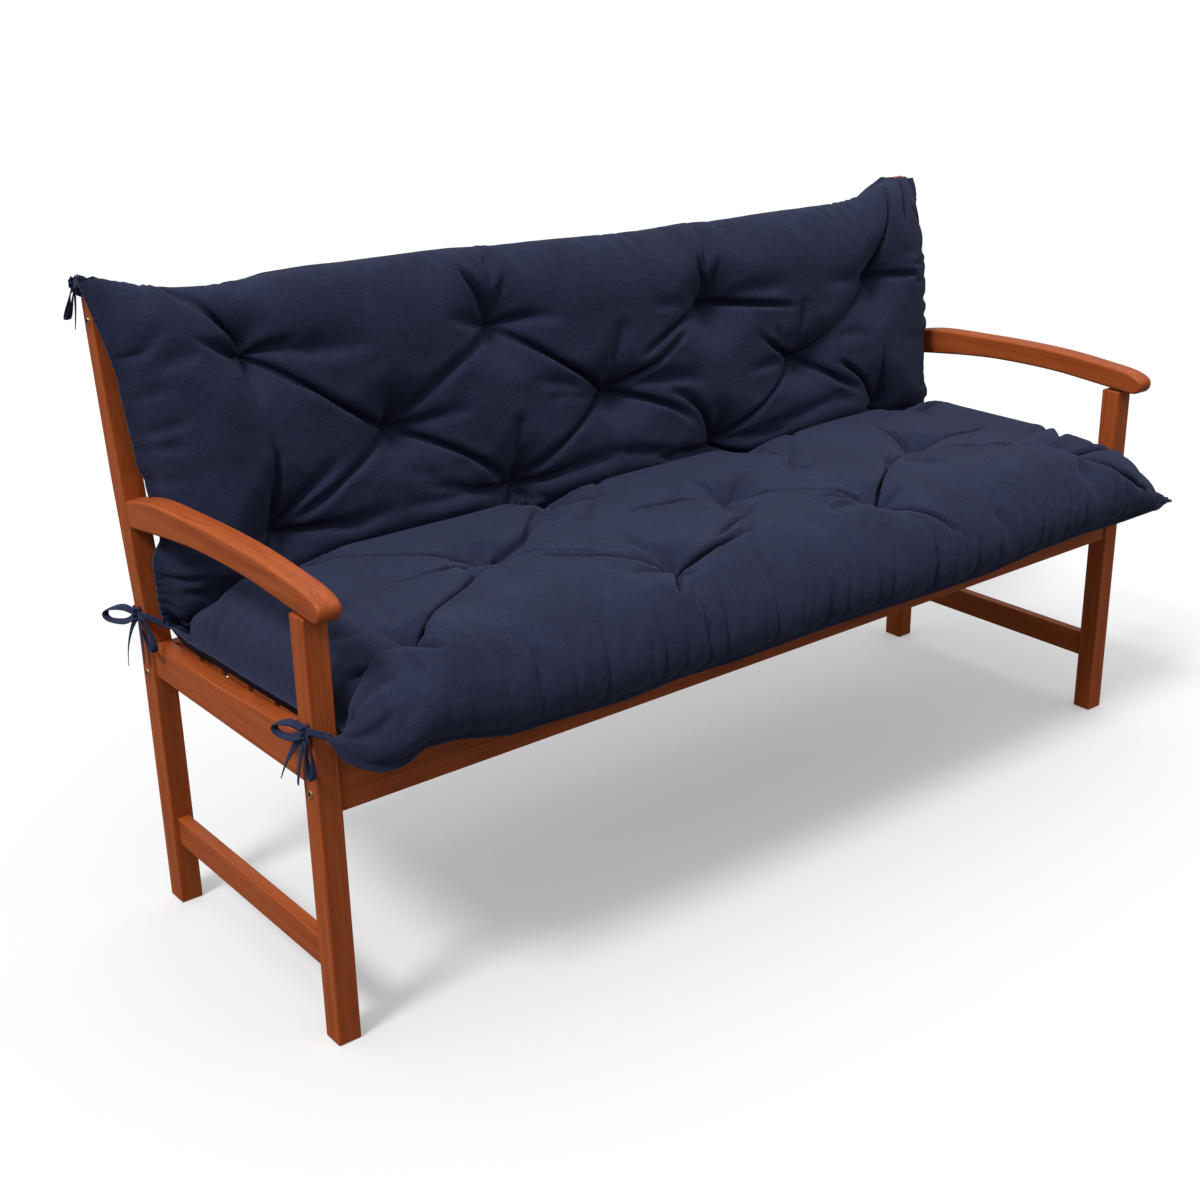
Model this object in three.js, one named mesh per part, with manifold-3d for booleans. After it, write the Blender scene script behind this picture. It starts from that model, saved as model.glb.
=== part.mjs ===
// A tufted two-part cushion lying on a wooden garden bench, tied to it with cloth tapes.
// Millimetres, +Z up. X runs along the bench, Y from its front to its back.
// While it is built, x = 0 is the bench's middle, y = 0 the front face of the front legs, z = 0 the floor.
import * as THREE from 'three';
import { mergeVertices } from 'three/addons/utils/BufferGeometryUtils.js';
import Module from 'manifold-3d';

const wasm = await Module();
wasm.setup();

// Driving dimensions of the bench
const BENCH_WIDTH = 1570;
const LEG = 33;
const LEG_DEPTH = 449; // from the front legs' front face to the rear posts' front face
const POST_DEPTH = 37;
const POST_TOP = { y: 527, z: 886 };
const BEND_Z = 400;
const LEAN = 0.143; // how far the backrest leans back for each unit of height
const ARM_TOP_Z = 631;
const GAP = 0.3; // between pieces that meet

// Driving dimensions of the cushion
const HALF_WIDTH = 776;
const SEAT_TOP = 408; // top of the seat slats
const SEAT_PUFF = 112; // height of the seat's crown above the slats
const BACK_PUFF = 100; // how far the back's crown stands off the backrest
const SEAT_TUFT = 80;
const BACK_TUFT = 48;
const CREASE_THICKNESS = 30;
const CREASE_SLOPE = 0.92; // how steeply the faces rise on both sides of the crease
const BACK_CLEARANCE = 2;

const half = BENCH_WIDTH / 2;
const leanAngle = Math.atan(LEAN);
const legInner = half - LEG;

const wood = { color: 0x9a4a22, roughness: 0.45, metalness: 0 };
const cloth = { color: 0x1d2138, roughness: 0.9, metalness: 0 };
const brass = { color: 0xb08d4a, roughness: 0.35, metalness: 0.9 };

const part = new THREE.Group();

function addMesh(name, geometry, look, parent = part) {
  const mesh = new THREE.Mesh(geometry, new THREE.MeshStandardMaterial(look));
  mesh.name = name;
  parent.add(mesh);
  return mesh;
}

// A board with its outline in the YZ plane, reaching from x0 to x1
function board(outline, x0, x1) {
  const options = { depth: x1 - x0, bevelEnabled: false, curveSegments: 8 };
  const geometry = new THREE.ExtrudeGeometry(outline, options);
  const swapAxes = new THREE.Matrix4().makeBasis(
    new THREE.Vector3(0, 1, 0), new THREE.Vector3(0, 0, 1), new THREE.Vector3(1, 0, 0));
  geometry.applyMatrix4(swapAxes);
  geometry.translate(x0, 0, 0);
  return geometry;
}

function bar(x0, x1, y0, y1, z0, z1) {
  const geometry = new THREE.BoxGeometry(x1 - x0, y1 - y0, z1 - z0);
  return geometry.translate((x0 + x1) / 2, (y0 + y1) / 2, (z0 + z1) / 2);
}

function polygon(points) {
  return new THREE.Shape(points.map(([y, z]) => new THREE.Vector2(y, z)));
}

const sides = [
  { name: 'left', sign: -1 },
  { name: 'right', sign: 1 },
];

// Puts a board that starts at the outer face inwards by inset on either side of the bench
function sideBoard(outline, sign, inset, width) {
  const outer = half - inset;
  return sign < 0 ? board(outline, -outer, -outer + width) : board(outline, outer - width, outer);
}

// The backrest's front face, at a height
const backFaceY = (z) => LEG_DEPTH + LEAN * (z - BEND_Z);

// Legs, posts, arms and side rails
const armCrown = [
  { y: 400, z: 624 }, { y: 299, z: 629 }, { y: 200, z: ARM_TOP_Z }, { y: 108, z: 629 }, { y: 13, z: 621 },
];
const armBelly = [
  { y: 34, z: 587 }, { y: 134, z: 594 }, { y: 240, z: 594 }, { y: 331, z: 588 },
];
const armNose = { y: -39, z: 600, upperZ: 616, lowerZ: 581, throatY: -14, throatZ: 583 };
const RAIL = { bottom: 361, front: 426, rear: 410, thickness: 25, inset: 3 };
const STRETCHER = { bottom: 95, top: 138, thickness: 18, inset: 8 };

function armOutline() {
  const shape = new THREE.Shape();
  const rearTop = { y: backFaceY(609) - GAP, z: 609 };
  const rearBottom = { y: backFaceY(571) - GAP, z: 571 };
  shape.moveTo(rearTop.y, rearTop.z);
  shape.splineThru(armCrown.map((p) => new THREE.Vector2(p.y, p.z)));
  shape.quadraticCurveTo(armNose.y, armNose.upperZ, armNose.y, armNose.z);
  shape.quadraticCurveTo(armNose.y, armNose.lowerZ, armNose.throatY, armNose.throatZ);
  shape.splineThru([...armBelly, rearBottom].map((p) => new THREE.Vector2(p.y, p.z)));
  shape.closePath();
  return shape;
}

// The underside of the arm over the leg, where the leg ends
const LEG_TOP = 582;

function postOutline() {
  const rearY = LEG_DEPTH + POST_DEPTH;
  return polygon([
    [LEG_DEPTH, 0], [rearY, 0], [rearY, 430], [516, 633], [537, 830], [540, 872], [537, 881],
    [POST_TOP.y, POST_TOP.z], [518, 882], [backFaceY(866), 866], [LEG_DEPTH, BEND_Z],
  ]);
}

function railOutline() {
  const front = LEG + GAP;
  const rear = LEG_DEPTH - GAP;
  const shape = new THREE.Shape();
  shape.moveTo(front, RAIL.bottom);
  shape.lineTo(rear, RAIL.bottom);
  shape.lineTo(rear, RAIL.rear);
  shape.quadraticCurveTo((front + rear) / 2, RAIL.rear - 2, front, RAIL.front);
  shape.closePath();
  return shape;
}

function addSide({ name, sign }) {
  const legOutline = polygon([[0, 0], [LEG, 0], [LEG, LEG_TOP], [0, LEG_TOP]]);
  addMesh(`front_leg_${name}`, sideBoard(legOutline, sign, 0, LEG), wood);
  addMesh(`rear_post_${name}`, sideBoard(postOutline(), sign, 0, LEG), wood);
  addMesh(`arm_${name}`, sideBoard(armOutline(), sign, 0, LEG), wood);
  addMesh(`side_rail_${name}`, sideBoard(railOutline(), sign, RAIL.inset, RAIL.thickness), wood);
  const front = LEG + GAP;
  const rear = LEG_DEPTH - GAP;
  const stretcher = polygon([
    [front, STRETCHER.bottom], [rear, STRETCHER.bottom], [rear, STRETCHER.top], [front, STRETCHER.top],
  ]);
  addMesh(`stretcher_${name}`, sideBoard(stretcher, sign, STRETCHER.inset, STRETCHER.thickness), wood);
}
sides.forEach(addSide);

// Front apron, rear rail, and the seat on its bearers
const APRON = { front: 3, thickness: 22, bottom: 323, top: 400 };
const REAR_RAIL = { front: 453, thickness: 20, bottom: 330, top: 400 };
const BEARER = { width: 34, bottom: 355 };
const SLAT = { count: 6, width: 58, thickness: 15, first: 30, last: 444, length: 1490 };
const BEARER_PLACES = [-560, 0, 560];
const longEnd = legInner - GAP;

addMesh('front_apron',
  bar(-longEnd, longEnd, APRON.front, APRON.front + APRON.thickness, APRON.bottom, APRON.top), wood);
addMesh('rear_rail',
  bar(-longEnd, longEnd, REAR_RAIL.front, REAR_RAIL.front + REAR_RAIL.thickness,
    REAR_RAIL.bottom, REAR_RAIL.top), wood);

BEARER_PLACES.forEach((x, index) => {
  const front = APRON.front + APRON.thickness + GAP;
  const top = SEAT_TOP - SLAT.thickness - GAP;
  addMesh(`seat_bearer_${index + 1}`,
    bar(x - BEARER.width / 2, x + BEARER.width / 2, front, REAR_RAIL.front - GAP, BEARER.bottom, top), wood);
});

for (let index = 0; index < SLAT.count; index++) {
  const pitch = (SLAT.last - SLAT.first - SLAT.width) / (SLAT.count - 1);
  const front = SLAT.first + index * pitch;
  const end = SLAT.length / 2;
  addMesh(`seat_slat_${index + 1}`,
    bar(-end, end, front, front + SLAT.width, SEAT_TOP - SLAT.thickness, SEAT_TOP), wood);
}

// The backrest, made upright and then leaned back about the posts' bend
const BACKREST = {
  lowerRail: { from: 70, to: 112 },
  topRail: { from: 404, to: 452 },
  railThickness: 22,
  slats: 12,
  slatWidth: 52,
  slatThickness: 12,
  slatPitch: 118,
};
const backrest = new THREE.Group();
backrest.position.set(0, LEG_DEPTH, BEND_Z);
backrest.rotation.x = -leanAngle;
part.add(backrest);

for (const [name, rail] of [['lower', BACKREST.lowerRail], ['top', BACKREST.topRail]]) {
  addMesh(`backrest_${name}_rail`,
    bar(-longEnd, longEnd, 0, BACKREST.railThickness, rail.from, rail.to), wood, backrest);
}
for (let index = 0; index < BACKREST.slats; index++) {
  const x = (index - (BACKREST.slats - 1) / 2) * BACKREST.slatPitch;
  const inset = (BACKREST.railThickness - BACKREST.slatThickness) / 2;
  addMesh(`backrest_slat_${index + 1}`,
    bar(x - BACKREST.slatWidth / 2, x + BACKREST.slatWidth / 2, inset, inset + BACKREST.slatThickness,
      BACKREST.lowerRail.to + GAP, BACKREST.topRail.from - GAP), wood, backrest);
}

// Brass barrel nuts on the outer faces, where the long rails are bolted in
const NUT = { radius: 5.5, height: 1.6 };
const nutPlaces = [
  { name: 'front', y: 17, z: 353 },
  { name: 'rear', y: 470, z: 361 },
  { name: 'top', y: 523, z: 845 },
];
for (const { name: side, sign } of sides) {
  for (const { name, y, z } of nutPlaces) {
    const disc = new THREE.CylinderGeometry(NUT.radius * 0.8, NUT.radius, NUT.height, 16);
    disc.rotateZ(-sign * Math.PI / 2);
    disc.translate(sign * (half + GAP + NUT.height / 2), y, z);
    addMesh(`barrel_nut_${name}_${side}`, disc, brass);
  }
}

// The cushion follows a support line: out over the front, along the slats, round the corner, up the backrest
const FRONT = { y: -60, z: 388, flatFrom: -8 };
const CORNER_RADIUS = 34;
const seatLineZ = SEAT_TOP + GAP;
const backDirection = new THREE.Vector2(Math.sin(leanAngle), Math.cos(leanAngle));
const backNormal = new THREE.Vector2(-backDirection.y, backDirection.x);
const cornerY = backFaceY(seatLineZ) - BACK_CLEARANCE / Math.cos(leanAngle);
const cornerTurn = Math.PI / 2 - leanAngle;
const cornerReach = CORNER_RADIUS * Math.tan(cornerTurn / 2);
const seatEndY = cornerY - cornerReach;
const backStart = new THREE.Vector2(cornerY, seatLineZ).addScaledVector(backDirection, cornerReach);
const BACK_LENGTH = 412; // along the backrest, from the corner's end to the top seam's foot

// Stations along the support line, closer where the form turns
const seatStations = [
  -60, -56, -47, -34, -16, 12, 38, 68, 100, 132, 162, 194, 226, 260, 292, 324, 350, 372, 392, 407,
];
const cornerStations = [0, 1 / 3, 2 / 3, 1];
const backStations = [12, 28, 50, 76, 105, 134, 163, 192, 224, 256, 288, 319, 345, 368, 386, 399, 408, 412];
const edgeOffsets = [0, 5, 16, 36, 62];
const COLUMN_PITCH = 40;
const COLUMNS_EACH_SIDE = 17;

// Each station: where it lies on the support line, which way is out, its distances to the crease and the ends
function makeStations() {
  const stations = [];
  for (const y of seatStations) {
    const out = Math.max(0, FRONT.flatFrom - y) / (FRONT.flatFrom - FRONT.y);
    const z = seatLineZ - (seatLineZ - FRONT.z) * out ** 1.6;
    const normal = new THREE.Vector2(0, 1);
    stations.push({ half: 'seat', y, z, normal, toEnd: y - FRONT.y, toCrease: seatEndY - y });
  }
  for (const turn of cornerStations) {
    const angle = turn * cornerTurn;
    const normal = new THREE.Vector2(-Math.sin(angle), Math.cos(angle));
    const y = seatEndY - normal.x * CORNER_RADIUS;
    const z = seatLineZ + CORNER_RADIUS - normal.y * CORNER_RADIUS;
    stations.push({ half: 'corner', y, z, normal, toEnd: 400, toCrease: 0 });
  }
  for (const rise of backStations) {
    const point = backStart.clone().addScaledVector(backDirection, rise);
    const toEnd = BACK_LENGTH - rise;
    const normal = backNormal.clone();
    stations.push({ half: 'back', y: point.x, z: point.y, normal, toEnd, toCrease: rise });
  }
  return stations;
}

// Places along X: close together at the side seams, even between them
function makeColumns() {
  const edge = edgeOffsets.map((offset) => offset / HALF_WIDTH);
  const inner = [];
  for (let i = -COLUMNS_EACH_SIDE; i <= COLUMNS_EACH_SIDE; i++) inner.push(i * COLUMN_PITCH / HALF_WIDTH);
  return [...edge.map((e) => e - 1), ...inner, ...edge.map((e) => 1 - e).reverse()];
}

// Thread tufts, as they lie on the seat (x, y) and on the back (x, z)
const seatTufts = [
  { x: -635, y: 14 }, { x: -218, y: 13 }, { x: 185, y: 18 }, { x: 602, y: 6 },
  { x: -405, y: 176 }, { x: 22, y: 162 }, { x: 430, y: 154 },
  { x: -610, y: 330 }, { x: -189, y: 324 }, { x: 221, y: 328 }, { x: 610, y: 320 },
];
const backTufts = [
  { x: -608, z: 543 }, { x: -208, z: 529 }, { x: 203, z: 519 }, { x: 590, z: 513 },
  { x: -406, z: 652 }, { x: -10, z: 640 }, { x: 394, z: 632 },
  { x: -612, z: 783 }, { x: -210, z: 771 }, { x: 205, z: 751 }, { x: 593, z: 744 },
];
// Tufts nearer to each other than this share a valley, unless they are in the same row
const VALLEY_REACH = { x: 260, along: 190, sameRow: 40, end: 150 };

// How far out the side seam lies: drawn in between the legs, out at the corners
const sideSeam = [
  { half: 'seat', at: -60, width: 782 },
  { half: 'seat', at: -34, width: 770 },
  { half: 'seat', at: -17, width: 746 },
  { half: 'seat', at: 40, width: 746 },
  { half: 'seat', at: 75, width: 760 },
  { half: 'seat', at: 250, width: 764 },
  { half: 'seat', at: 417, width: 770 },
  { half: 'back', at: 0, width: 775 },
  { half: 'back', at: 80, width: 772 },
  { half: 'back', at: 116, width: 748 },
  { half: 'back', at: 198, width: 748 },
  { half: 'back', at: 240, width: 768 },
  { half: 'back', at: 330, width: 775 },
  { half: 'back', at: 412, width: 786 },
];
const SEAM_HEIGHT = { side: 32, front: 8, top: 30 };
// How the faces round over to the seams, and how steep they get where the bench squeezes the cushion
const ROUNDING = {
  side: 125, sidePower: 0.8, squeezedPower: 0.4, freeWidth: 768, squeeze: 22, front: 85, top: 70, below: 70,
};
const RIGHT_SAG = 0.045; // the back half stands this share lower at its right end than at its left
const EDGE_TURN = { angle: 1.0, reach: 90 }; // how the cushion's faces roll over at the front and the top

// Corners that are drawn aside: two by their ties, two hang free
const corners = [
  { side: -1, half: 'seat', move: [4, 44, 50], reach: 110 },
  { side: 1, half: 'seat', move: [20, -22, 14], reach: 110 },
  { side: -1, half: 'back', move: [-14, 4, 38], reach: 90 },
  { side: 1, half: 'back', move: [-2, 2, 30], reach: 90 },
];

function tableValue(table, station) {
  const rows = table.filter((row) => row.half === (station.half === 'corner' ? 'seat' : station.half));
  const at = station.half === 'back' ? station.toCrease : station.half === 'seat' ? station.y : seatEndY;
  if (at <= rows[0].at) return rows[0].width;
  for (let i = 1; i < rows.length; i++) {
    if (at > rows[i].at) continue;
    const share = (at - rows[i - 1].at) / (rows[i].at - rows[i - 1].at);
    return THREE.MathUtils.lerp(rows[i - 1].width, rows[i].width, THREE.MathUtils.smoothstep(share, 0, 1));
  }
  return rows.at(-1).width;
}

// From 0 at a seam to 1 at the crown: power 0.5 is a quarter round, 1 a parabola
const roundOver = (distance, reach, power = 0.5) => {
  const share = Math.min(1, Math.max(0, distance / reach));
  return (1 - (1 - share) ** 2) ** power;
};

// Tuft places along the support line, from the crease
function flatTufts(halfName) {
  if (halfName === 'back') {
    const foot = backStart.y + backNormal.y * BACK_TUFT;
    return backTufts.map(({ x, z }) => ({ x, along: (z - foot) / backDirection.y }));
  }
  return seatTufts.map(({ x, y }) => ({ x, along: seatEndY - y }));
}
const tufts = { seat: flatTufts('seat'), back: flatTufts('back') };

// Valleys run from tuft to tuft, and from the outer rows to the front and top seams
function makeValleys(halfName) {
  const list = tufts[halfName];
  const end = halfName === 'back' ? BACK_LENGTH : seatEndY - FRONT.y;
  const valleys = [];
  list.forEach((a, i) => {
    for (const b of list.slice(i + 1)) {
      const apart = Math.abs(a.along - b.along);
      const near = apart < VALLEY_REACH.along && Math.abs(a.x - b.x) < VALLEY_REACH.x;
      if (near && apart > VALLEY_REACH.sameRow) valleys.push([a, b]);
    }
    if (end - a.along < VALLEY_REACH.end) valleys.push([a, { x: a.x, along: end }]);
  });
  return valleys;
}
const valleys = { seat: makeValleys('seat'), back: makeValleys('back') };

function segmentDistance(x, along, [a, b]) {
  const dx = b.x - a.x;
  const ds = b.along - a.along;
  const share = Math.min(1, Math.max(0, ((x - a.x) * dx + (along - a.along) * ds) / (dx * dx + ds * ds)));
  return Math.hypot(x - a.x - share * dx, along - a.along - share * ds);
}

const TUFT = { reach: 50, valleyReach: 26, valleyShare: 0.3, underDepth: 16, underReach: 45 };

// The distance between the cushion's upper face and its support line, and of its lower face from that line
function faceHeights(x, station) {
  const isBack = station.half === 'back';
  const name = isBack ? 'back' : 'seat';
  const crown = isBack ? BACK_PUFF : SEAT_PUFF;
  const tuftHeight = isBack ? BACK_TUFT : SEAT_TUFT;
  const width = tableValue(sideSeam, station);
  const toSide = Math.max(0, width - Math.abs(x));
  const endRounding = isBack ? ROUNDING.top : ROUNDING.front;
  const endSeam = isBack ? SEAM_HEIGHT.top : SEAM_HEIGHT.front;
  const fromEnd = THREE.MathUtils.smoothstep(station.toEnd, 0, 100);
  const seamHeight = THREE.MathUtils.lerp(endSeam, SEAM_HEIGHT.side, fromEnd);
  const squeeze = THREE.MathUtils.clamp((ROUNDING.freeWidth - width) / ROUNDING.squeeze, 0, 1);
  const sidePower = THREE.MathUtils.lerp(ROUNDING.sidePower, ROUNDING.squeezedPower, squeeze);
  const swell = roundOver(toSide, ROUNDING.side, sidePower) * roundOver(station.toEnd, endRounding);
  let puff = 1;
  let under = 0;
  for (const tuft of tufts[name]) {
    const distance = Math.hypot(x - tuft.x, station.toCrease - tuft.along);
    puff *= 1 - Math.exp(-((distance / TUFT.reach) ** 1.5));
    under += TUFT.underDepth * Math.exp(-((distance / TUFT.underReach) ** 2));
  }
  const nearest = Math.min(...valleys[name].map((valley) => segmentDistance(x, station.toCrease, valley)));
  puff *= 1 - TUFT.valleyShare * Math.exp(-((nearest / TUFT.valleyReach) ** 2));
  let upper = tuftHeight + (crown - tuftHeight) * puff;
  upper = Math.min(upper, CREASE_THICKNESS + CREASE_SLOPE * station.toCrease);
  upper = seamHeight + (upper - seamHeight) * swell;
  const lift = 1 - roundOver(Math.min(toSide, station.toEnd), ROUNDING.below);
  const nearCrease = THREE.MathUtils.smoothstep(station.toCrease, 0, 60);
  const lower = Math.min(upper - 3, seamHeight * lift + under * (1 - lift) * nearCrease);
  return { upper, lower, seam: seamHeight };
}

function cushionPoint(u, station, heightName) {
  const x = u * tableValue(sideSeam, station);
  const turn = EDGE_TURN.angle * Math.max(0, 1 - station.toEnd / EDGE_TURN.reach) ** 2;
  const sign = station.half === 'back' ? -1 : 1;
  const normal = station.normal.clone().rotateAround(new THREE.Vector2(), sign * turn);
  const isSeam = Math.abs(u) === 1 || station.toEnd === 0;
  const heights = faceHeights(x, station);
  const height = isSeam ? heights.seam : heights[heightName];
  const sag = station.half === 'back' ? RIGHT_SAG * station.toCrease * (1 + u) / 2 : 0;
  const point = new THREE.Vector3(
    x,
    station.y + normal.x * height - sag * backDirection.x,
    station.z + normal.y * height - sag * backDirection.y);
  for (const corner of corners) {
    if (corner.half !== station.half) continue;
    const distance = Math.hypot(HALF_WIDTH * (1 - corner.side * u), station.toEnd);
    const pull = Math.max(0, 1 - distance / corner.reach) ** 2;
    point.addScaledVector(new THREE.Vector3(...corner.move), pull);
  }
  return point;
}

// One closed skin: the upper face, the lower face, and the seam where they share their points
function cushionGeometry() {
  const stations = makeStations();
  const columns = makeColumns();
  const positions = [];
  const index = [];
  const faces = { upper: [], lower: [] };
  stations.forEach((station, row) => {
    for (const name of ['upper', 'lower']) faces[name].push([]);
    const atEnd = row === 0 || row === stations.length - 1;
    columns.forEach((u, column) => {
      const onSeam = atEnd || column === 0 || column === columns.length - 1;
      positions.push(...cushionPoint(u, station, 'upper').toArray());
      faces.upper[row][column] = positions.length / 3 - 1;
      if (!onSeam) positions.push(...cushionPoint(u, station, 'lower').toArray());
      faces.lower[row][column] = positions.length / 3 - 1;
    });
  });
  for (let row = 0; row + 1 < stations.length; row++) {
    for (let column = 0; column + 1 < columns.length; column++) {
      for (const [name, grid] of Object.entries(faces)) {
        const [a, b] = [grid[row][column], grid[row][column + 1]];
        const [d, c] = [grid[row + 1][column], grid[row + 1][column + 1]];
        const ring = (row + column) % 2 ? [a, b, c, a, c, d] : [b, c, d, b, d, a];
        if (name === 'lower') ring.reverse();
        index.push(...ring);
      }
    }
  }
  const geometry = new THREE.BufferGeometry();
  geometry.setAttribute('position', new THREE.Float32BufferAttribute(positions, 3));
  geometry.setIndex(index);
  return geometry;
}
addMesh('cushion', cushionGeometry(), cloth);

// Ties: flat cloth tapes, each bow one solid of its loops, ends, knot and the stretches to the cushion
const TAPE = { width: 10, thickness: 1.4, taper: 0.25 };

// A strip along a smooth path. Points are [x, y, z, tilt], tilt in degrees from flat to the bench's side.
// An upright strip keeps its width along Z instead, to pass round a leg
function tape(points, steps, { tapered = false, upright = false } = {}) {
  const curve = new THREE.CatmullRomCurve3(points.map(([x, y, z]) => new THREE.Vector3(x, y, z)));
  const outward = new THREE.Vector3(-1, 0, 0);
  const up = new THREE.Vector3(0, 0, 1);
  const positions = [];
  const index = [];
  for (let i = 0; i <= steps; i++) {
    const share = i / steps;
    const centre = curve.getPoint(share);
    const along = curve.getTangent(share);
    const across = new THREE.Vector3();
    if (upright) {
      across.copy(up).addScaledVector(along, -along.z).normalize();
    } else {
      const place = Math.min(share * (points.length - 1), points.length - 1.001);
      const from = Math.floor(place);
      const tilt = THREE.MathUtils.lerp(points[from][3], points[from + 1][3], place - from);
      across.crossVectors(along, outward).normalize().applyAxisAngle(along, THREE.MathUtils.degToRad(tilt));
    }
    const through = new THREE.Vector3().crossVectors(along, across);
    const narrowing = tapered ? 1 - (1 - TAPE.taper) * share ** 3 : 1;
    for (const [a, b] of [[-1, -1], [1, -1], [1, 1], [-1, 1]]) {
      const corner = centre.clone()
        .addScaledVector(across, a * narrowing * TAPE.width / 2)
        .addScaledVector(through, b * TAPE.thickness / 2);
      positions.push(...corner.toArray());
    }
    if (i === 0) continue;
    const base = (i - 1) * 4;
    for (let k = 0; k < 4; k++) {
      const next = (k + 1) % 4;
      index.push(base + k, base + next, base + 4 + next, base + k, base + 4 + next, base + 4 + k);
    }
  }
  const last = steps * 4;
  index.push(2, 1, 0, 3, 2, 0, last, last + 1, last + 2, last, last + 2, last + 3);
  const geometry = new THREE.BufferGeometry();
  geometry.setAttribute('position', new THREE.Float32BufferAttribute(positions, 3));
  geometry.setIndex(index);
  return geometry;
}

function knot([x, y, z]) {
  const ball = new THREE.SphereGeometry(1, 10, 8);
  return ball.scale(4.5, 8, 8).translate(x, y, z);
}

function toManifold(geometry) {
  const bare = geometry.clone();
  bare.deleteAttribute('normal');
  bare.deleteAttribute('uv');
  const merged = mergeVertices(bare, 1e-4);
  return new wasm.Manifold(new wasm.Mesh({
    numProp: 3,
    vertProperties: new Float32Array(merged.attributes.position.array),
    triVerts: new Uint32Array(merged.index.array),
  }));
}

function fromManifold(solid) {
  const mesh = solid.getMesh();
  const geometry = new THREE.BufferGeometry();
  geometry.setAttribute('position', new THREE.Float32BufferAttribute(mesh.vertProperties, 3));
  geometry.setIndex(Array.from(mesh.triVerts));
  return geometry;
}

// Each bow lies on the bench's outer side. Tips are [y, z], out is how far the tip stands off the knot,
// and spread is how wide a loop opens. A wrap passes round the leg or post; a strand goes to the cushion
const bows = [
  {
    name: 'tie_front_left',
    knot: [-789.8, 5, 441],
    loops: [{ tip: [56, 433], out: 14, spread: 18 }, { tip: [-12, 386], out: 5, spread: 16 }],
    ends: [{ tip: [61, 362], out: 9, bend: 6 }, { tip: [28, 366], out: 4, bend: 4 }],
    strand: [[-789, -6, 444], [-787, -13, 446]],
    wrap: [[-786.6, 20, 440], [-786.4, 33.6, 440], [-784.6, 34.9, 440], [-765, 34.1, 440]],
  },
  {
    name: 'tie_crease_left',
    knot: [-789.8, 466, 451],
    loops: [{ tip: [544, 431], out: 16, spread: 20 }, { tip: [408, 416], out: 6, spread: 24 }],
    ends: [{ tip: [502, 364], out: 8, bend: 12 }, { tip: [457, 382], out: 3, bend: -3 }],
    strand: [[-789.5, 452, 452], [-788, 440, 453], [-782, 432, 454]],
    wrap: [[-786.6, 480, 450], [-786.4, 490.4, 450], [-784.6, 491.8, 450], [-765, 490.9, 450]],
  },
  {
    name: 'tie_top_left',
    knot: [-792, 536, 894],
    loops: [{ tip: [548, 846], out: 10, spread: 10 }],
    ends: [{ tip: [538, 834], out: 5, bend: -3 }],
    strand: [[-797, 522, 900], [-800, 506, 904]],
    wrap: [[-788.5, 542, 886], [-783, 543, 879], [-765, 541.2, 875]],
  },
];
const LOOP_COURSE = [
  { along: 0, aside: 0 }, { along: 0.4, aside: 0.5 }, { along: 0.86, aside: 0.4 }, { along: 1, aside: 0 },
  { along: 0.86, aside: -0.4 }, { along: 0.4, aside: -0.5 }, { along: 0, aside: 0 },
];
const END_COURSE = [
  { along: 0, aside: 0 }, { along: 0.35, aside: 0.8 }, { along: 0.7, aside: 0.8 }, { along: 1, aside: 0 },
];
const END_TILT = 20;

// A path from the knot to a tip, aside from the straight line by shares of the width given
function bowPath([x, y, z], { tip, out }, course, width, lastTilt) {
  const line = new THREE.Vector2(tip[0] - y, tip[1] - z);
  const side = new THREE.Vector2(-line.y, line.x).normalize();
  return course.map(({ along, aside }, i) => [
    x - 1 - out * along,
    y + line.x * along + side.x * aside * width,
    z + line.y * along + side.y * aside * width,
    lastTilt * i / (course.length - 1),
  ]);
}

function addBow({ name, knot: place, loops, ends, strand, wrap }) {
  const pieces = [
    ...loops.map((loop) => tape(bowPath(place, loop, LOOP_COURSE, loop.spread, 180), 18)),
    ...ends.map((end) => tape(bowPath(place, end, END_COURSE, end.bend, END_TILT), 10, { tapered: true })),
    ...[strand, wrap].map((path) => tape([place, ...path], 3 * path.length, { upright: true })),
  ];
  let bow = toManifold(knot(place));
  for (const piece of pieces) bow = bow.add(toManifold(piece));
  addMesh(name, fromManifold(bow), cloth);
}
bows.forEach(addBow);

// The origin is the middle of the underside of the whole part's box
const box = new THREE.Box3().setFromObject(part, true);
part.position.set(-(box.min.x + box.max.x) / 2, -(box.min.y + box.max.y) / 2, -box.min.z);

export default part;
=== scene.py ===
import math

import bmesh
import bpy
import numpy as np
from mathutils import Euler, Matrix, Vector


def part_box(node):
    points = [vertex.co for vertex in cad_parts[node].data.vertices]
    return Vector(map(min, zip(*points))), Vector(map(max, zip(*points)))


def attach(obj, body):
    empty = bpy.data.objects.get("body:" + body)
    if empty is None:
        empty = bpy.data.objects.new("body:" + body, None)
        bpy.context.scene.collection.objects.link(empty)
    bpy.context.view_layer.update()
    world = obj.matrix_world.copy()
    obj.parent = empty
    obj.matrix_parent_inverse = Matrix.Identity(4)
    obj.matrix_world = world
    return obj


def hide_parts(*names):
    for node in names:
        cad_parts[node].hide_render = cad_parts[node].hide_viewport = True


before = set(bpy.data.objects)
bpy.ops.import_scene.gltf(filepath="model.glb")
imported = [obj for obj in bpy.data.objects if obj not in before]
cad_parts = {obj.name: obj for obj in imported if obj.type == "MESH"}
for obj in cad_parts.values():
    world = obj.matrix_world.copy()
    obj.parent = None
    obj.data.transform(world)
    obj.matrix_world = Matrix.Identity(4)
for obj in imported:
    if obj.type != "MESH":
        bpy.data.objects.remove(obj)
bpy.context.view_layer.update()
print("frame loaded:", len(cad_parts), "nodes")

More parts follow.
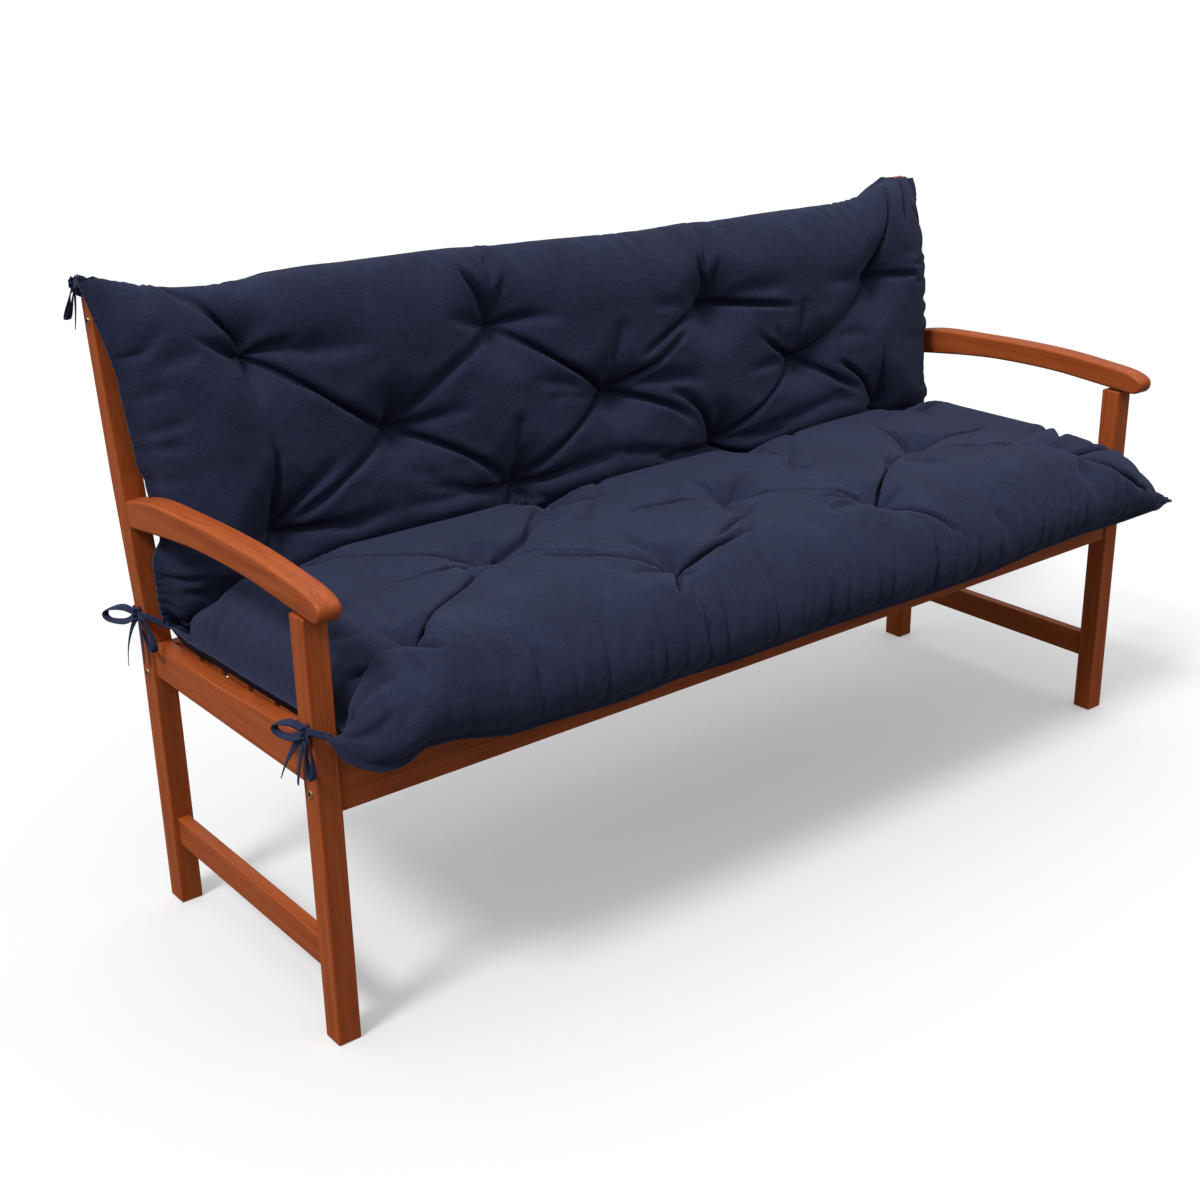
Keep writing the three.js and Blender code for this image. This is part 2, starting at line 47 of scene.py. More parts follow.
# Places below are in metres, from the floor midway between the front legs' front faces
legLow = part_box("front_leg_left")[0]
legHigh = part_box("front_leg_right")[1]
origin = Vector(((legLow.x + legHigh.x) / 2, legLow.y, 0))


def makePiece(name, verts, faces, replaced):
    mesh = bpy.data.meshes.new(name)
    mesh.from_pydata([tuple(v) for v in verts], [], [tuple(f) for f in faces])
    mesh.validate()
    mesh.shade_smooth()
    piece = bpy.data.objects.new(name, mesh)
    bpy.context.collection.objects.link(piece)
    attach(piece, "root")
    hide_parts(replaced)
    return piece


def addAttribute(piece, name, values):
    # A number or a place kept at each point of the mesh, for the materials
    values = np.asarray(values, dtype=np.float32)
    kind = "FLOAT" if values.ndim == 1 else "FLOAT_VECTOR"
    kept = piece.data.attributes.new(name, kind, "POINT")
    kept.data.foreach_set("value" if values.ndim == 1 else "vector", values.ravel())


print("materials")


class Sketch:
    # A node tree, with each node made and linked in one call
    def __init__(self, tree):
        self.tree = tree

    def add(self, kind, settings=None, **inputs):
        node = self.tree.nodes.new("ShaderNode" + kind)
        for key, value in (settings or {}).items():
            setattr(node, key, value)
        for key, value in inputs.items():
            name = int(key[1:]) if key[0] == "n" and key[1:].isdigit() else key.replace("_", " ")
            if isinstance(value, bpy.types.NodeSocket):
                self.tree.links.new(value, node.inputs[name])
            else:
                node.inputs[name].default_value = value
        return node

    def math(self, operation, a, b=0.0, c=0.0):
        return self.add("Math", {"operation": operation}, n0=a, n1=b, n2=c).outputs[0]

    def spread(self, value, fromLow, fromHigh, toLow=0.0, toHigh=1.0):
        node = self.add("MapRange", {"interpolation_type": "SMOOTHSTEP"}, Value=value)
        ends = {"From Min": fromLow, "From Max": fromHigh, "To Min": toLow, "To Max": toHigh}
        for name, number in ends.items():
            node.inputs[name].default_value = number
        return node.outputs[0]

    def mix(self, share, first, second):
        node = self.tree.nodes.new("ShaderNodeMix")
        node.data_type = "RGBA"
        for slot, value in ((0, share), (6, first), (7, second)):
            if isinstance(value, bpy.types.NodeSocket):
                self.tree.links.new(value, node.inputs[slot])
            else:
                node.inputs[slot].default_value = value if slot == 0 else (*value, 1)
        return node.outputs[2]

    def noise(self, place, scale, detail=3.0, rough=0.5):
        node = self.add("TexNoise", None, Vector=place, Scale=scale, Detail=detail, Roughness=rough)
        return node.outputs[0]

    def stretched(self, place, scale):
        return self.add("VectorMath", {"operation": "MULTIPLY"}, n0=place, n1=scale).outputs[0]


def makeEffect(name, inputs, outputs, build):
    # A shader node group with named inputs and outputs
    tree = bpy.data.node_groups.new(name, "ShaderNodeTree")
    for label, kind, value in inputs:
        made = tree.interface.new_socket(label, in_out="INPUT", socket_type="NodeSocket" + kind)
        made.default_value = value
    for label, kind in outputs:
        tree.interface.new_socket(label, in_out="OUTPUT", socket_type="NodeSocket" + kind)
    start, end = tree.nodes.new("NodeGroupInput"), tree.nodes.new("NodeGroupOutput")
    sketch = Sketch(tree)
    for label, value in build(sketch, start.outputs).items():
        tree.links.new(value, end.inputs[label])
    return tree


def useEffect(sketch, tree, **inputs):
    node = sketch.tree.nodes.new("ShaderNodeGroup")
    node.node_tree = tree
    for key, value in inputs.items():
        name = key.replace("_", " ")
        if isinstance(value, bpy.types.NodeSocket):
            sketch.tree.links.new(value, node.inputs[name])
        else:
            node.inputs[name].default_value = (*value, 1) if isinstance(value, tuple) else value
    return node.outputs


def buildWeave(sketch, given):
    # A plain weave with uneven threads, small fibres and slow changes of colour
    place = given["Place"]
    threads = given["Threads"]
    parts = sketch.add("SeparateXYZ", None, Vector=place)
    turns = sketch.math("MULTIPLY", threads, 2 * math.pi)
    shift = sketch.math("MULTIPLY", sketch.noise(place, 60.0, 2.0), 9.0)
    warp = sketch.math("SINE", sketch.math("MULTIPLY_ADD", parts.outputs[0], turns, shift))
    weft = sketch.math("SINE", sketch.math("MULTIPLY_ADD", parts.outputs[1], turns, shift))
    cross = sketch.math("MULTIPLY", warp, weft)
    slubAcross = sketch.noise(sketch.stretched(place, (900.0, 45.0, 1.0)), 1.0, 2.0)
    slubAlong = sketch.noise(sketch.stretched(place, (45.0, 900.0, 1.0)), 1.0, 2.0)
    slubs = sketch.math("ADD", slubAcross, slubAlong)
    clouds = sketch.noise(place, 9.0, 4.0, 0.6)
    uneven = sketch.spread(slubs, 0.7, 1.35, -0.10, 0.10)
    lighter = sketch.math("ADD", uneven, sketch.spread(clouds, 0.3, 0.7, -0.07, 0.07))
    lighter = sketch.math("ADD", lighter, sketch.math("MULTIPLY", cross, 0.05))
    amount = sketch.math("MULTIPLY_ADD", lighter, given["Variation"], 0.5)
    twice = sketch.add("VectorMath", {"operation": "SCALE"}, n0=given["Color"],
                       Scale=sketch.math("MULTIPLY", amount, 2.0))
    height = sketch.math("MULTIPLY_ADD", cross, 0.35, sketch.math("MULTIPLY", slubs, 0.8))
    rough = sketch.spread(slubs, 0.7, 1.35, 0.92, 0.82)
    return {"Color": twice.outputs[0], "Height": height, "Roughness": rough}


weave = makeEffect(
    "weave",
    [("Place", "Vector", (0, 0, 0)), ("Color", "Color", (0.03, 0.03, 0.07, 1)), ("Threads", "Float", 900.0),
     ("Variation", "Float", 1.0)],
    [("Color", "Color"), ("Height", "Float"), ("Roughness", "Float")], buildWeave)


def buildGrain(sketch, given):
    # Long streaks of lighter and darker wood, with fine dark pores
    place = given["Place"]
    sway = sketch.add("TexNoise", None, Vector=place, Scale=3.0, Detail=1.0).outputs[1]
    bend = sketch.add("VectorMath", {"operation": "MULTIPLY_ADD"}, n0=sway, n1=(0.0, 0.012, 0.012), n2=place)
    bent = bend.outputs[0]
    bands = sketch.noise(sketch.stretched(bent, (2.2, 70.0, 70.0)), 1.0, 4.0, 0.6)
    streaks = sketch.noise(sketch.stretched(bent, (9.0, 420.0, 420.0)), 1.0, 3.0, 0.55)
    pores = sketch.noise(sketch.stretched(bent, (55.0, 1500.0, 1500.0)), 1.0, 2.0)
    poreMask = sketch.spread(pores, 0.60, 0.72)
    broad = sketch.noise(place, 4.0, 2.0)
    tone = sketch.math("ADD", sketch.math("MULTIPLY", bands, 0.6), sketch.math("MULTIPLY", streaks, 0.4))
    color = sketch.mix(sketch.spread(tone, 0.36, 0.64), given["Dark"], given["Light"])
    color = sketch.mix(sketch.spread(broad, 0.3, 0.7, 0.0, 0.30), color, given["Light"])
    color = sketch.mix(sketch.math("MULTIPLY", poreMask, 0.40), color, given["Pores"])
    height = sketch.math("SUBTRACT", sketch.math("MULTIPLY", streaks, 0.4), poreMask)
    rough = sketch.spread(sketch.noise(place, 30.0, 3.0), 0.3, 0.7, -0.05, 0.05)
    return {"Color": color, "Height": height, "Roughness": sketch.math("ADD", rough, given["Roughness"])}


grain = makeEffect(
    "grain",
    [("Place", "Vector", (0, 0, 0)), ("Dark", "Color", (0, 0, 0, 1)), ("Light", "Color", (1, 1, 1, 1)),
     ("Pores", "Color", (0, 0, 0, 1)), ("Roughness", "Float", 0.4)],
    [("Color", "Color"), ("Height", "Float"), ("Roughness", "Float")], buildGrain)


def startMaterial(name, **constants):
    # constants are set on the Principled shader's own sockets
    material = bpy.data.materials.new(name)
    material.use_nodes = True
    shader = material.node_tree.nodes["Principled BSDF"]
    for key, value in constants.items():
        shader.inputs[key.replace("_", " ")].default_value = value
    return material, shader, Sketch(material.node_tree)


def addBump(sketch, shader, height, strength, depth):
    bump = sketch.add("Bump", None, Strength=strength, Distance=depth, Height=height)
    sketch.tree.links.new(bump.outputs[0], shader.inputs["Normal"])


# The cushion: two faces sewn together round the edge, folded at a crease, drawn in by thread tufts
cushion = {
    "cells": 0.0050,
    "halfWidth": 0.776,
    "seatLength": 0.477,  # from the fold to the front seam, where creases are laid
    "backLength": 0.408,
    "seatTop": 0.4083,  # the face of the slats
    "frontY": -0.057,
    "frontZ": 0.388,
    "dropFrom": -0.008,  # in front of this the underside falls away from the slats
    "dropPower": 1.6,
    "cornerRadius": 0.034,  # the round in which the underside turns from the seat to the backrest
    "foldMiddle": (0.4187, 0.4423),  # middle of that round, as (y, z)
    "foldGap": 0.0004,
    "postFront": 0.449,  # front face of the rear posts
    "postBend": 0.400,  # height at which they start to lean
    "lean": 0.143,  # the backrest's lean, for each unit of height
    "backGap": 0.002,
    "seatPuff": 0.112,
    "backPuff": 0.100,
    "seatTuft": 0.080,
    "backTuft": 0.048,
    "tuftWidth": 0.034,
    "tuftPower": 1.3,
    "underTuft": 0.016,
    "underTuftWidth": 0.045,
    "creaseHeight": 0.030,
    "creaseSlope": 0.92,
    "seamSide": 0.028,
    "seamFront": 0.008,
    "seamTop": 0.030,
    "seamBlend": 0.100,
    "seatRound": 0.085,  # how far in from the front, top and sides the faces reach their full height
    "backRound": 0.070,
    "sideRound": 0.125,
    "sidePower": 0.8,
    "pinch": (0.768, 0.022, 0.4),  # where the half width is below this, over this range, sides swell sooner
    "underRound": 0.070,
    "seatUnderSide": 5.5,  # how much sooner the seat's underside lies flat at its sides
    "underBlend": 0.060,
    "underReach": 0.060,  # how far in the underside follows the rim
    "thinnest": 0.003,
    "turnAngle": 1.0,  # how far the faces roll over at the front and the top
    "turnReach": 0.090,
    "rightSag": 0.045,
    "topDropReach": (0.085, 0.010),  # from the top seam: where the drop starts, and where it is full
    "frontRiseReach": (0.110, 0.0),
    "flange": 0.0090,
    "flangeThickness": 0.0022,
    "flangeInside": 0.85,  # share of the flange that lies inside the seam's half width
    "flangeCorner": 0.35,
    "flangeShoulder": (0.86, 0.9),  # shares of its width and of half its thickness
}
# Half width of the cushion at its side seams: over the seat by y, up the back by the rise from the fold
seatSeam = [(-0.060, 0.782), (-0.034, 0.770), (-0.017, 0.746), (0.040, 0.746), (0.075, 0.760),
            (0.250, 0.764), (0.417, 0.770)]
backSeamLeft = [(0.000, 0.775), (0.088, 0.773), (0.116, 0.755), (0.199, 0.762), (0.224, 0.770),
                (0.330, 0.775), (0.408, 0.788)]
backSeamRight = [(0.000, 0.772), (0.060, 0.748), (0.100, 0.738), (0.180, 0.744), (0.224, 0.766),
                 (0.310, 0.776), (0.360, 0.768), (0.408, 0.784)]
# How far the top edge sinks, and the front edge rises, along the bench
topDrop = [(-1, 0), (-0.93, -0.001), (-0.86, 0.003), (-0.80, 0.009), (-0.745, -0.001), (-0.69, -0.008),
           (-0.60, -0.010), (-0.53, -0.009), (-0.43, -0.005), (-0.36, -0.003), (-0.29, 0), (-0.25, 0.005),
           (-0.14, 0.004), (0.05, 0.011), (0.185, 0.0145), (0.225, 0.008), (0.32, 0.013), (0.41, 0.013),
           (0.62, 0.007), (0.73, 0.010), (0.80, 0.002), (0.86, -0.020), (0.91, -0.034), (0.97, -0.014),
           (1, 0)]
frontRise = [(-1, 0), (-0.98, -0.006), (-0.937, 0.002), (-0.87, 0.025), (-0.805, 0.021), (-0.71, 0.003),
             (-0.605, 0), (-0.47, -0.005), (-0.35, -0.001), (-0.22, -0.005), (0, -0.003), (0.15, -0.005),
             (0.33, -0.008), (0.46, -0.008), (0.63, 0.001), (0.76, 0.003), (0.90, 0), (1, 0)]
# Tufts lie at (x, y) on the seat and at (x, z) on the back
seatTufts = [(-0.635, 0.014), (-0.218, 0.013), (0.185, 0.018), (0.602, 0.006),
             (-0.405, 0.176), (0.022, 0.162), (0.430, 0.154),
             (-0.610, 0.330), (-0.189, 0.324), (0.221, 0.328), (0.610, 0.320)]
backTufts = [(-0.608, 0.543), (-0.208, 0.529), (0.203, 0.519), (0.590, 0.513),
             (-0.406, 0.652), (-0.010, 0.640), (0.394, 0.632),
             (-0.612, 0.783), (-0.210, 0.771), (0.205, 0.751), (0.593, 0.744)]
# Creases that run out from the tufts: depth and width in millimetres, then pixels picked in the photo
backCreases = [
    (24, 10, (236, 356), (300, 350), (375, 340)),
    (16, 8, (236, 356), (190, 362), (140, 375)),
    (12, 9, (232, 352), (190, 338), (152, 329)),
    (12, 9, (228, 346), (207, 315), (196, 290)),
    (8, 6, (243, 362), (258, 382)),
    (22, 7, (380, 424), (345, 410), (300, 388), (268, 375)),
    (22, 7, (380, 424), (415, 400), (450, 370), (481, 325)),
    (14, 10, (380, 420), (388, 395), (389, 365)),
    (14, 8, (385, 422), (430, 417), (475, 410)),
    (9, 6, (385, 425), (410, 432), (430, 447)),
    (16, 8, (383, 428), (400, 450), (420, 478), (447, 487)),
    (14, 9, (378, 430), (362, 465), (335, 495)),
    (22, 8, (481, 322), (487, 290), (484, 265), (478, 250)),
    (22, 10, (481, 322), (520, 318), (562, 312)),
    (14, 8, (485, 326), (512, 352), (528, 380)),
    (9, 6, (487, 325), (520, 345)),
    (18, 7, (595, 387), (565, 365), (545, 342), (530, 334)),
    (20, 10, (598, 385), (613, 350), (621, 312)),
    (22, 10, (600, 386), (650, 384), (705, 380)),
    (16, 7, (605, 390), (650, 400), (690, 425)),
    (9, 7, (590, 388), (530, 384)),
    (7, 7, (590, 392), (545, 400)),
    (8, 6, (592, 395), (589, 414)),
    (22, 8, (691, 298), (700, 270), (698, 242), (688, 231)),
    (18, 10, (695, 297), (735, 290), (785, 281)),
    (9, 7, (688, 299), (650, 302)),
    (10, 7, (694, 300), (725, 345)),
    (8, 6, (697, 300), (742, 330)),
    (18, 9, (780, 353), (797, 322), (801, 290)),
    (10, 7, (785, 350), (815, 328), (842, 303)),
    (16, 9, (785, 350), (830, 345), (877, 335)),
    (18, 7, (783, 357), (820, 380), (860, 402)),
    (9, 7, (778, 356), (742, 372)),
    (9, 6, (780, 345), (774, 324)),
    (16, 8, (860, 271), (885, 263), (915, 255)),
    (14, 10, (858, 270), (875, 245), (870, 220)),
    (8, 7, (853, 274), (820, 277)),
    (10, 8, (857, 275), (850, 305), (815, 348)),
    (8, 6, (860, 278), (880, 310)),
    (22, 10, (268, 525), (269, 490), (276, 448)),
    (14, 8, (272, 522), (310, 490), (342, 458)),
    (20, 9, (272, 530), (350, 532), (400, 515)),
    (12, 8, (275, 535), (300, 560)),
    (14, 7, (501, 482), (480, 494), (430, 493), (418, 478)),
    (12, 7, (501, 482), (470, 497), (400, 515)),
    (22, 9, (503, 478), (515, 450), (519, 412)),
    (20, 9, (505, 483), (600, 467), (645, 456)),
    (14, 7, (505, 487), (520, 510)),
    (18, 7, (703, 435), (700, 412), (682, 397), (663, 393)),
    (12, 9, (705, 433), (720, 398)),
    (18, 9, (707, 440), (780, 430), (830, 406), (856, 405)),
    (14, 7, (698, 443), (670, 460), (610, 460), (560, 470)),
    (12, 7, (707, 445), (722, 458)),
    (14, 7, (867, 398), (873, 385), (864, 367)),
    (18, 9, (867, 402), (920, 400)),
]
seatCreases = [
    (16, 7, (407, 660), (430, 625), (465, 590), (480, 578)),
    (9, 8, (405, 655), (388, 625), (372, 600)),
    (17, 5, (410, 662), (417, 685)),
    (15, 6, (414, 662), (428, 675), (429, 700)),
    (9, 6, (332, 636), (352, 635), (372, 642)),
    (11, 7, (668, 578), (640, 576), (600, 571)),
    (11, 5, (660, 575), (640, 552), (613, 534)),
    (8, 8, (672, 575), (685, 555), (696, 528)),
    (7, 6, (674, 575), (720, 553), (748, 530)),
    (17, 5, (690, 578), (695, 602)),
    (15, 6, (678, 580), (702, 579)),
    (11, 6, (868, 513), (830, 511), (803, 500)),
    (10, 6, (875, 515), (905, 521), (921, 537)),
    (8, 6, (870, 510), (872, 478)),
    (10, 5, (883, 515), (907, 494)),
    (8, 5, (862, 510), (828, 478)),
    (11, 6, (1055, 462), (1062, 470), (1070, 484)),
    (9, 7, (1050, 460), (1005, 450), (965, 446)),
    (10, 6, (1078, 477), (1094, 489)),
    (7, 5, (1052, 458), (1065, 448)),
    (13, 7, (478, 577), (440, 562), (392, 559)),
    (13, 7, (501, 574), (520, 552), (552, 520)),
    (9, 6, (488, 578), (460, 580)),
    (13, 6, (732, 512), (735, 490), (744, 475)),
    (11, 7, (728, 512), (695, 502), (660, 497)),
    (9, 6, (735, 515), (760, 503), (785, 488)),
    (10, 5, (728, 498), (736, 485)),
    (10, 5, (740, 522), (760, 510)),
    (11, 5, (921, 463), (952, 468)),
    (10, 6, (921, 462), (945, 445), (965, 438)),
    (9, 5, (884, 462), (872, 492)),
    (9, 5, (898, 463), (882, 495)),
    (7, 5, (920, 462), (900, 463)),
    (10, 6, (552, 522), (600, 505), (622, 498)),
    (10, 5, (589, 521), (610, 505), (628, 499)),
    (13, 7, (552, 521), (530, 513)),
    (11, 5, (749, 467), (765, 455)),
    (9, 5, (790, 468), (800, 458), (812, 448)),
    (9, 5, (790, 469), (815, 470)),
    (13, 6, (749, 467), (722, 458)),
    (7, 6, (1000, 520), (1012, 540), (1010, 560)),
    (5, 7, (345, 610), (355, 625), (375, 640)),
]
# Small puckers that run in from the seams
puckers = {
    "seed": 11,
    "front": (46, 0.040, 0.0062, 4.0),  # how many, length, depth, width in millimetres
    "top": (34, 0.030, 0.0045, 4.5),
    "side": (11, 0.034, 0.0055, 5.0),
    "lengths": (0.5, 1.5),  # shares of the length and the depth
    "depths": (0.4, 1.25),
    "outermost": 0.74,
    "sideStart": 0.756,
    "sideEnds": (0.04, 0.05),  # how far the first at the sides lies from the fold, and the last from the seam
    "scatter": (0.011, 0.014),
    "inset": 0.003,
    "slant": (0.15, 0.25),
    "sideSlant": (0, 0.3),
}


def seamPuckers(half):
    # Creases by x and distance from the fold, along the outer seam and both side seams of one half
    rng = np.random.default_rng(puckers["seed"] + (half == "back"))
    length = cushion[half + "Length"]
    rows = []

    def runAndDepth(reach, depth):
        return reach * rng.uniform(*puckers["lengths"]), depth * rng.uniform(*puckers["depths"]) * 1000

    count, reach, depth, width = puckers["top" if half == "back" else "front"]
    spread = puckers["scatter"][0]
    ends = puckers["outermost"]
    for x in np.linspace(-ends, ends, count) + rng.uniform(-spread, spread, count):
        run, deep = runAndDepth(reach, depth)
        inner = (x + rng.normal(*puckers["slant"]) * run, length - run)
        rows.append((deep, width, (x, length - puckers["inset"]), inner))
    count, reach, depth, width = puckers["side"]
    spread = puckers["scatter"][1]
    first, last = puckers["sideEnds"]
    for side in (-1, 1):
        for r in np.linspace(first, length - last, count) + rng.uniform(-spread, spread, count):
            run, deep = runAndDepth(reach, depth)
            inner = (side * (puckers["sideStart"] - run), r + rng.normal(*puckers["sideSlant"]) * run)
            rows.append((deep, width, (side * puckers["sideStart"], r), inner))
    return rows


# Corners drawn aside by shift within reach, then eased to the smooth form by calm within calmReach
cornerPulls = [
    {"side": -1, "half": "seat", "shift": (0.000, 0.036, 0.046), "reach": 0.080,
     "calm": 1.0, "calmReach": 0.30},
    {"side": 1, "half": "seat", "shift": (0.020, -0.022, 0.014), "reach": 0.110,
     "calm": 0.5, "calmReach": 0.12},
    {"side": -1, "half": "back", "shift": (-0.014, 0.004, 0.038), "reach": 0.090,
     "calm": 0.5, "calmReach": 0.12},
    {"side": 1, "half": "back", "shift": (-0.002, 0.002, 0.030), "reach": 0.090,
     "calm": 0.7, "calmReach": 0.15},
]
# Where the cover keeps its smooth form: half, x, distance from the fold, reach, share
calmPlaces = [
    ("back", -0.620, 0.262, 0.078, 0.85),
    ("back", -0.675, 0.390, 0.060, 0.75),
    ("back", 0.600, 0.250, 0.070, 0.60),
]

leanAngle = math.atan(cushion["lean"])
backUp = np.array([math.sin(leanAngle), math.cos(leanAngle)])
backOut = np.array([-backUp[1], backUp[0]])
cornerY = cushion["postFront"] + cushion["lean"] * (cushion["seatTop"] - cushion["postBend"])
cornerY -= cushion["backGap"] / math.cos(leanAngle)
cornerReach = cushion["cornerRadius"] * math.tan((math.pi / 2 - leanAngle) / 2)
seatEnd = cornerY - cornerReach
backStart = np.array([cornerY, cushion["seatTop"]]) + backUp * cornerReach
halfWidth = cushion["halfWidth"]


def smooth(v, low=0.0, high=1.0):
    t = np.clip((v - low) / (high - low), 0, 1)
    return t * t * (3 - 2 * t)


def seamWidth(rows, at):
    out = np.full(at.shape, rows[0][1])
    for (a, wa), (b, wb) in zip(rows, rows[1:]):
        out = np.where(at > a, wa + (wb - wa) * smooth((at - a) / (b - a)), out)
    return out


def roundOver(distance, reach, power=0.5):
    share = np.clip(distance / reach, 0, 1)
    return np.maximum(1 - (1 - share) ** 2, 0) ** power


def faceGrid(u, toCrease, half, upper=True, tufted=True):
    # u runs from -1 to 1 along the bench, toCrease is the distance from the fold along seat or back
    u, r = np.meshgrid(u, toCrease)
    back = half == "back"
    c = cushion
    if back:
        y0 = backStart[0] + backUp[0] * r
        z0 = backStart[1] + backUp[1] * r
        normal = backOut
        toEnd = c["backLength"] - r
        width = np.where(u < 0, seamWidth(backSeamLeft, r), seamWidth(backSeamRight, r))
        tufts = [(x, (z - backStart[1] - backOut[1] * c["backTuft"]) / backUp[1]) for x, z in backTufts]
    else:
        y0 = seatEnd - r
        out = np.clip((c["dropFrom"] - y0) / (c["dropFrom"] - c["frontY"]), 0, 1)
        z0 = c["seatTop"] - (c["seatTop"] - c["frontZ"]) * out ** c["dropPower"]
        normal = (0.0, 1.0)
        toEnd = y0 - c["frontY"]
        width = seamWidth(seatSeam, y0)
        tufts = [(x, seatEnd - y) for x, y in seatTufts]
    endSeam = c["seamTop" if back else "seamFront"]
    width = width - c["flange"] * c["flangeInside"]
    x = u * width
    toSide = np.maximum(0, width - np.abs(x))
    seam = endSeam + (c["seamSide"] - endSeam) * smooth(toEnd, 0, c["seamBlend"])
    pinchFrom, pinchOver, pinchPower = c["pinch"]
    squeeze = np.clip((pinchFrom - width) / pinchOver, 0, 1)
    swell = roundOver(toSide, c["sideRound"], c["sidePower"] - pinchPower * squeeze)
    swell = swell * roundOver(toEnd, c[half + "Round"])
    puff = np.ones(r.shape)
    under = np.zeros(r.shape)
    for tx, along in tufts:
        distance = np.hypot(x - tx, r - along)
        if tufted:
            puff *= 1 - np.exp(-(distance / c["tuftWidth"]) ** c["tuftPower"])
        under += c["underTuft"] * np.exp(-(distance / c["underTuftWidth"]) ** 2)
    height = c[half + "Tuft"] + (c[half + "Puff"] - c[half + "Tuft"]) * puff
    height = np.minimum(height, c["creaseHeight"] + c["creaseSlope"] * r)
    height = seam + (height - seam) * swell
    if not upper:
        flatSide = toSide * (1 if back else c["seatUnderSide"])
        lift = 1 - roundOver(np.minimum(flatSide, toEnd), c["underRound"])
        low = seam * lift + under * (1 - lift) * smooth(r, 0, c["underBlend"])
        height = np.minimum(height - c["thinnest"], low)
    turn = c["turnAngle"] * np.clip(1 - toEnd / c["turnReach"], 0, 1) ** 2 * (-1 if back else 1)
    ny = normal[0] * np.cos(turn) - normal[1] * np.sin(turn)
    nz = normal[0] * np.sin(turn) + normal[1] * np.cos(turn)
    if back:
        down = backUp
        sag = c["rightSag"] * r * (1 + u) / 2
        sag = sag + np.interp(u, *zip(*topDrop)) * smooth(toEnd, *c["topDropReach"])
    else:
        down = (0, 1)
        sag = -np.interp(u, *zip(*frontRise)) * smooth(toEnd, *c["frontRiseReach"])
    place = np.stack([x, y0 + ny * height - sag * down[0], z0 + nz * height - sag * down[1]], axis=-1)
    for corner in cornerPulls:
        if corner["half"] == half:
            distance = np.hypot(halfWidth * (1 - corner["side"] * u), toEnd)
            share = np.clip(1 - distance / corner["reach"], 0, 1)[..., None] ** 2
            place += share * np.array(corner["shift"])
    return place, tufts, x


creasing = {
    "slowSide": 1.9,  # widths of the two sides, as shares of a crease's own width
    "steepSide": 0.8,
    "fade": 0.7,
    "samples": 240,  # rows of the cover that are tried for each pixel
}


def grooves(x, r, creases):
    # How deep the creases are at each place: steep on one side, slow on the other
    depth = np.zeros(x.shape)
    for deep, width, *points in creases:
        points = np.array(points)
        spans = np.linalg.norm(np.diff(points, axis=0), axis=1)
        passed = 0
        for a, b, span in zip(points, points[1:], spans):
            way = (b - a) / span
            normal = np.array([-way[1], way[0]])
            normal = normal if normal.sum() > 0 else -normal
            along = np.clip((x - a[0]) * way[0] + (r - a[1]) * way[1], 0, span)
            offX, offR = x - a[0] - along * way[0], r - a[1] - along * way[1]
            above = offX * normal[0] + offR * normal[1] > 0
            side = np.where(above, creasing["slowSide"], creasing["steepSide"])
            near = np.exp(-(np.hypot(offX, offR) / (width * 0.001 * side)) ** 2)
            fade = (1 - (passed + along) / spans.sum()) ** creasing["fade"]
            depth = np.maximum(depth, deep * 0.001 * near * fade)
            passed += span
    return depth


def evenRows(half, count):
    # Distances from the fold that part the puffed profile into even steps, and the profile's length
    length = cushion["backLength"] if half == "back" else seatEnd - cushion["frontY"]
    fine = np.linspace(0, length, 1500)
    line = faceGrid(np.array([0.1]), fine, half, tufted=False)[0][:, 0, 1:]
    travelled = np.concatenate([[0], np.cumsum(np.linalg.norm(np.diff(line, axis=0), axis=1))])
    return np.interp(np.linspace(0, travelled[-1], count + 1), travelled, fine), travelled[-1]


print("camera, light and floor")
camera = {
    "place": (-1.62078, -1.61454, 1.29733),
    "turn": (68.6735, 1.0108, -38.5355),
    "lens": 50.683,
    "sensor": 36,
    "photoSize": 1200,  # pixels along each side of the photo
}
light = {
    "sunTurn": (8.0, -36.0, 0.0),
    "sunStrength": 1.75,
    "sunAngle": 14.0,
    "skyLow": 0.11,
    "skyHigh": 1.0,
    "floor": 0.68,
    "floorGlow": 0.27,
    "floorBounce": 0.14,  # what the bench gets back from the floor
    "floorReach": 900,
}
lens = bpy.data.cameras.new("view")
lens.lens = camera["lens"]
lens.sensor_width = camera["sensor"]
viewer = bpy.data.objects.new("view", lens)
viewer.location = Vector(camera["place"]) + origin
viewer.rotation_euler = [math.radians(a) for a in camera["turn"]]
bpy.context.collection.objects.link(viewer)
bpy.context.scene.camera = viewer

sunLamp = bpy.data.lights.new("sun", "SUN")
sunLamp.energy = light["sunStrength"]
sunLamp.angle = math.radians(light["sunAngle"])
sun = bpy.data.objects.new("sun", sunLamp)
sun.rotation_euler = [math.radians(a) for a in light["sunTurn"]]
bpy.context.collection.objects.link(sun)


def makeSky():
    # Brighter overhead than at the horizon; the camera sees plain white
    world = bpy.data.worlds.new("studio")
    world.use_nodes = True
    sketch = Sketch(world.node_tree)
    background = world.node_tree.nodes["Background"]
    height = sketch.add("SeparateXYZ", None, Vector=sketch.add("TexCoord").outputs["Generated"]).outputs[2]
    glow = sketch.add("MapRange", None, Value=height).outputs[0]
    glow.node.inputs["To Min"].default_value = light["skyLow"]
    glow.node.inputs["To Max"].default_value = light["skyHigh"]
    seen = sketch.add("LightPath").outputs["Is Camera Ray"]
    level = sketch.math("ADD", glow, sketch.math("MULTIPLY", seen, 2.0))
    world.node_tree.links.new(level, background.inputs["Strength"])
    background.inputs["Color"].default_value = (1, 1, 1, 1)
    bpy.context.scene.world = world


makeSky()
bpy.context.scene.view_settings.view_transform = "Standard"

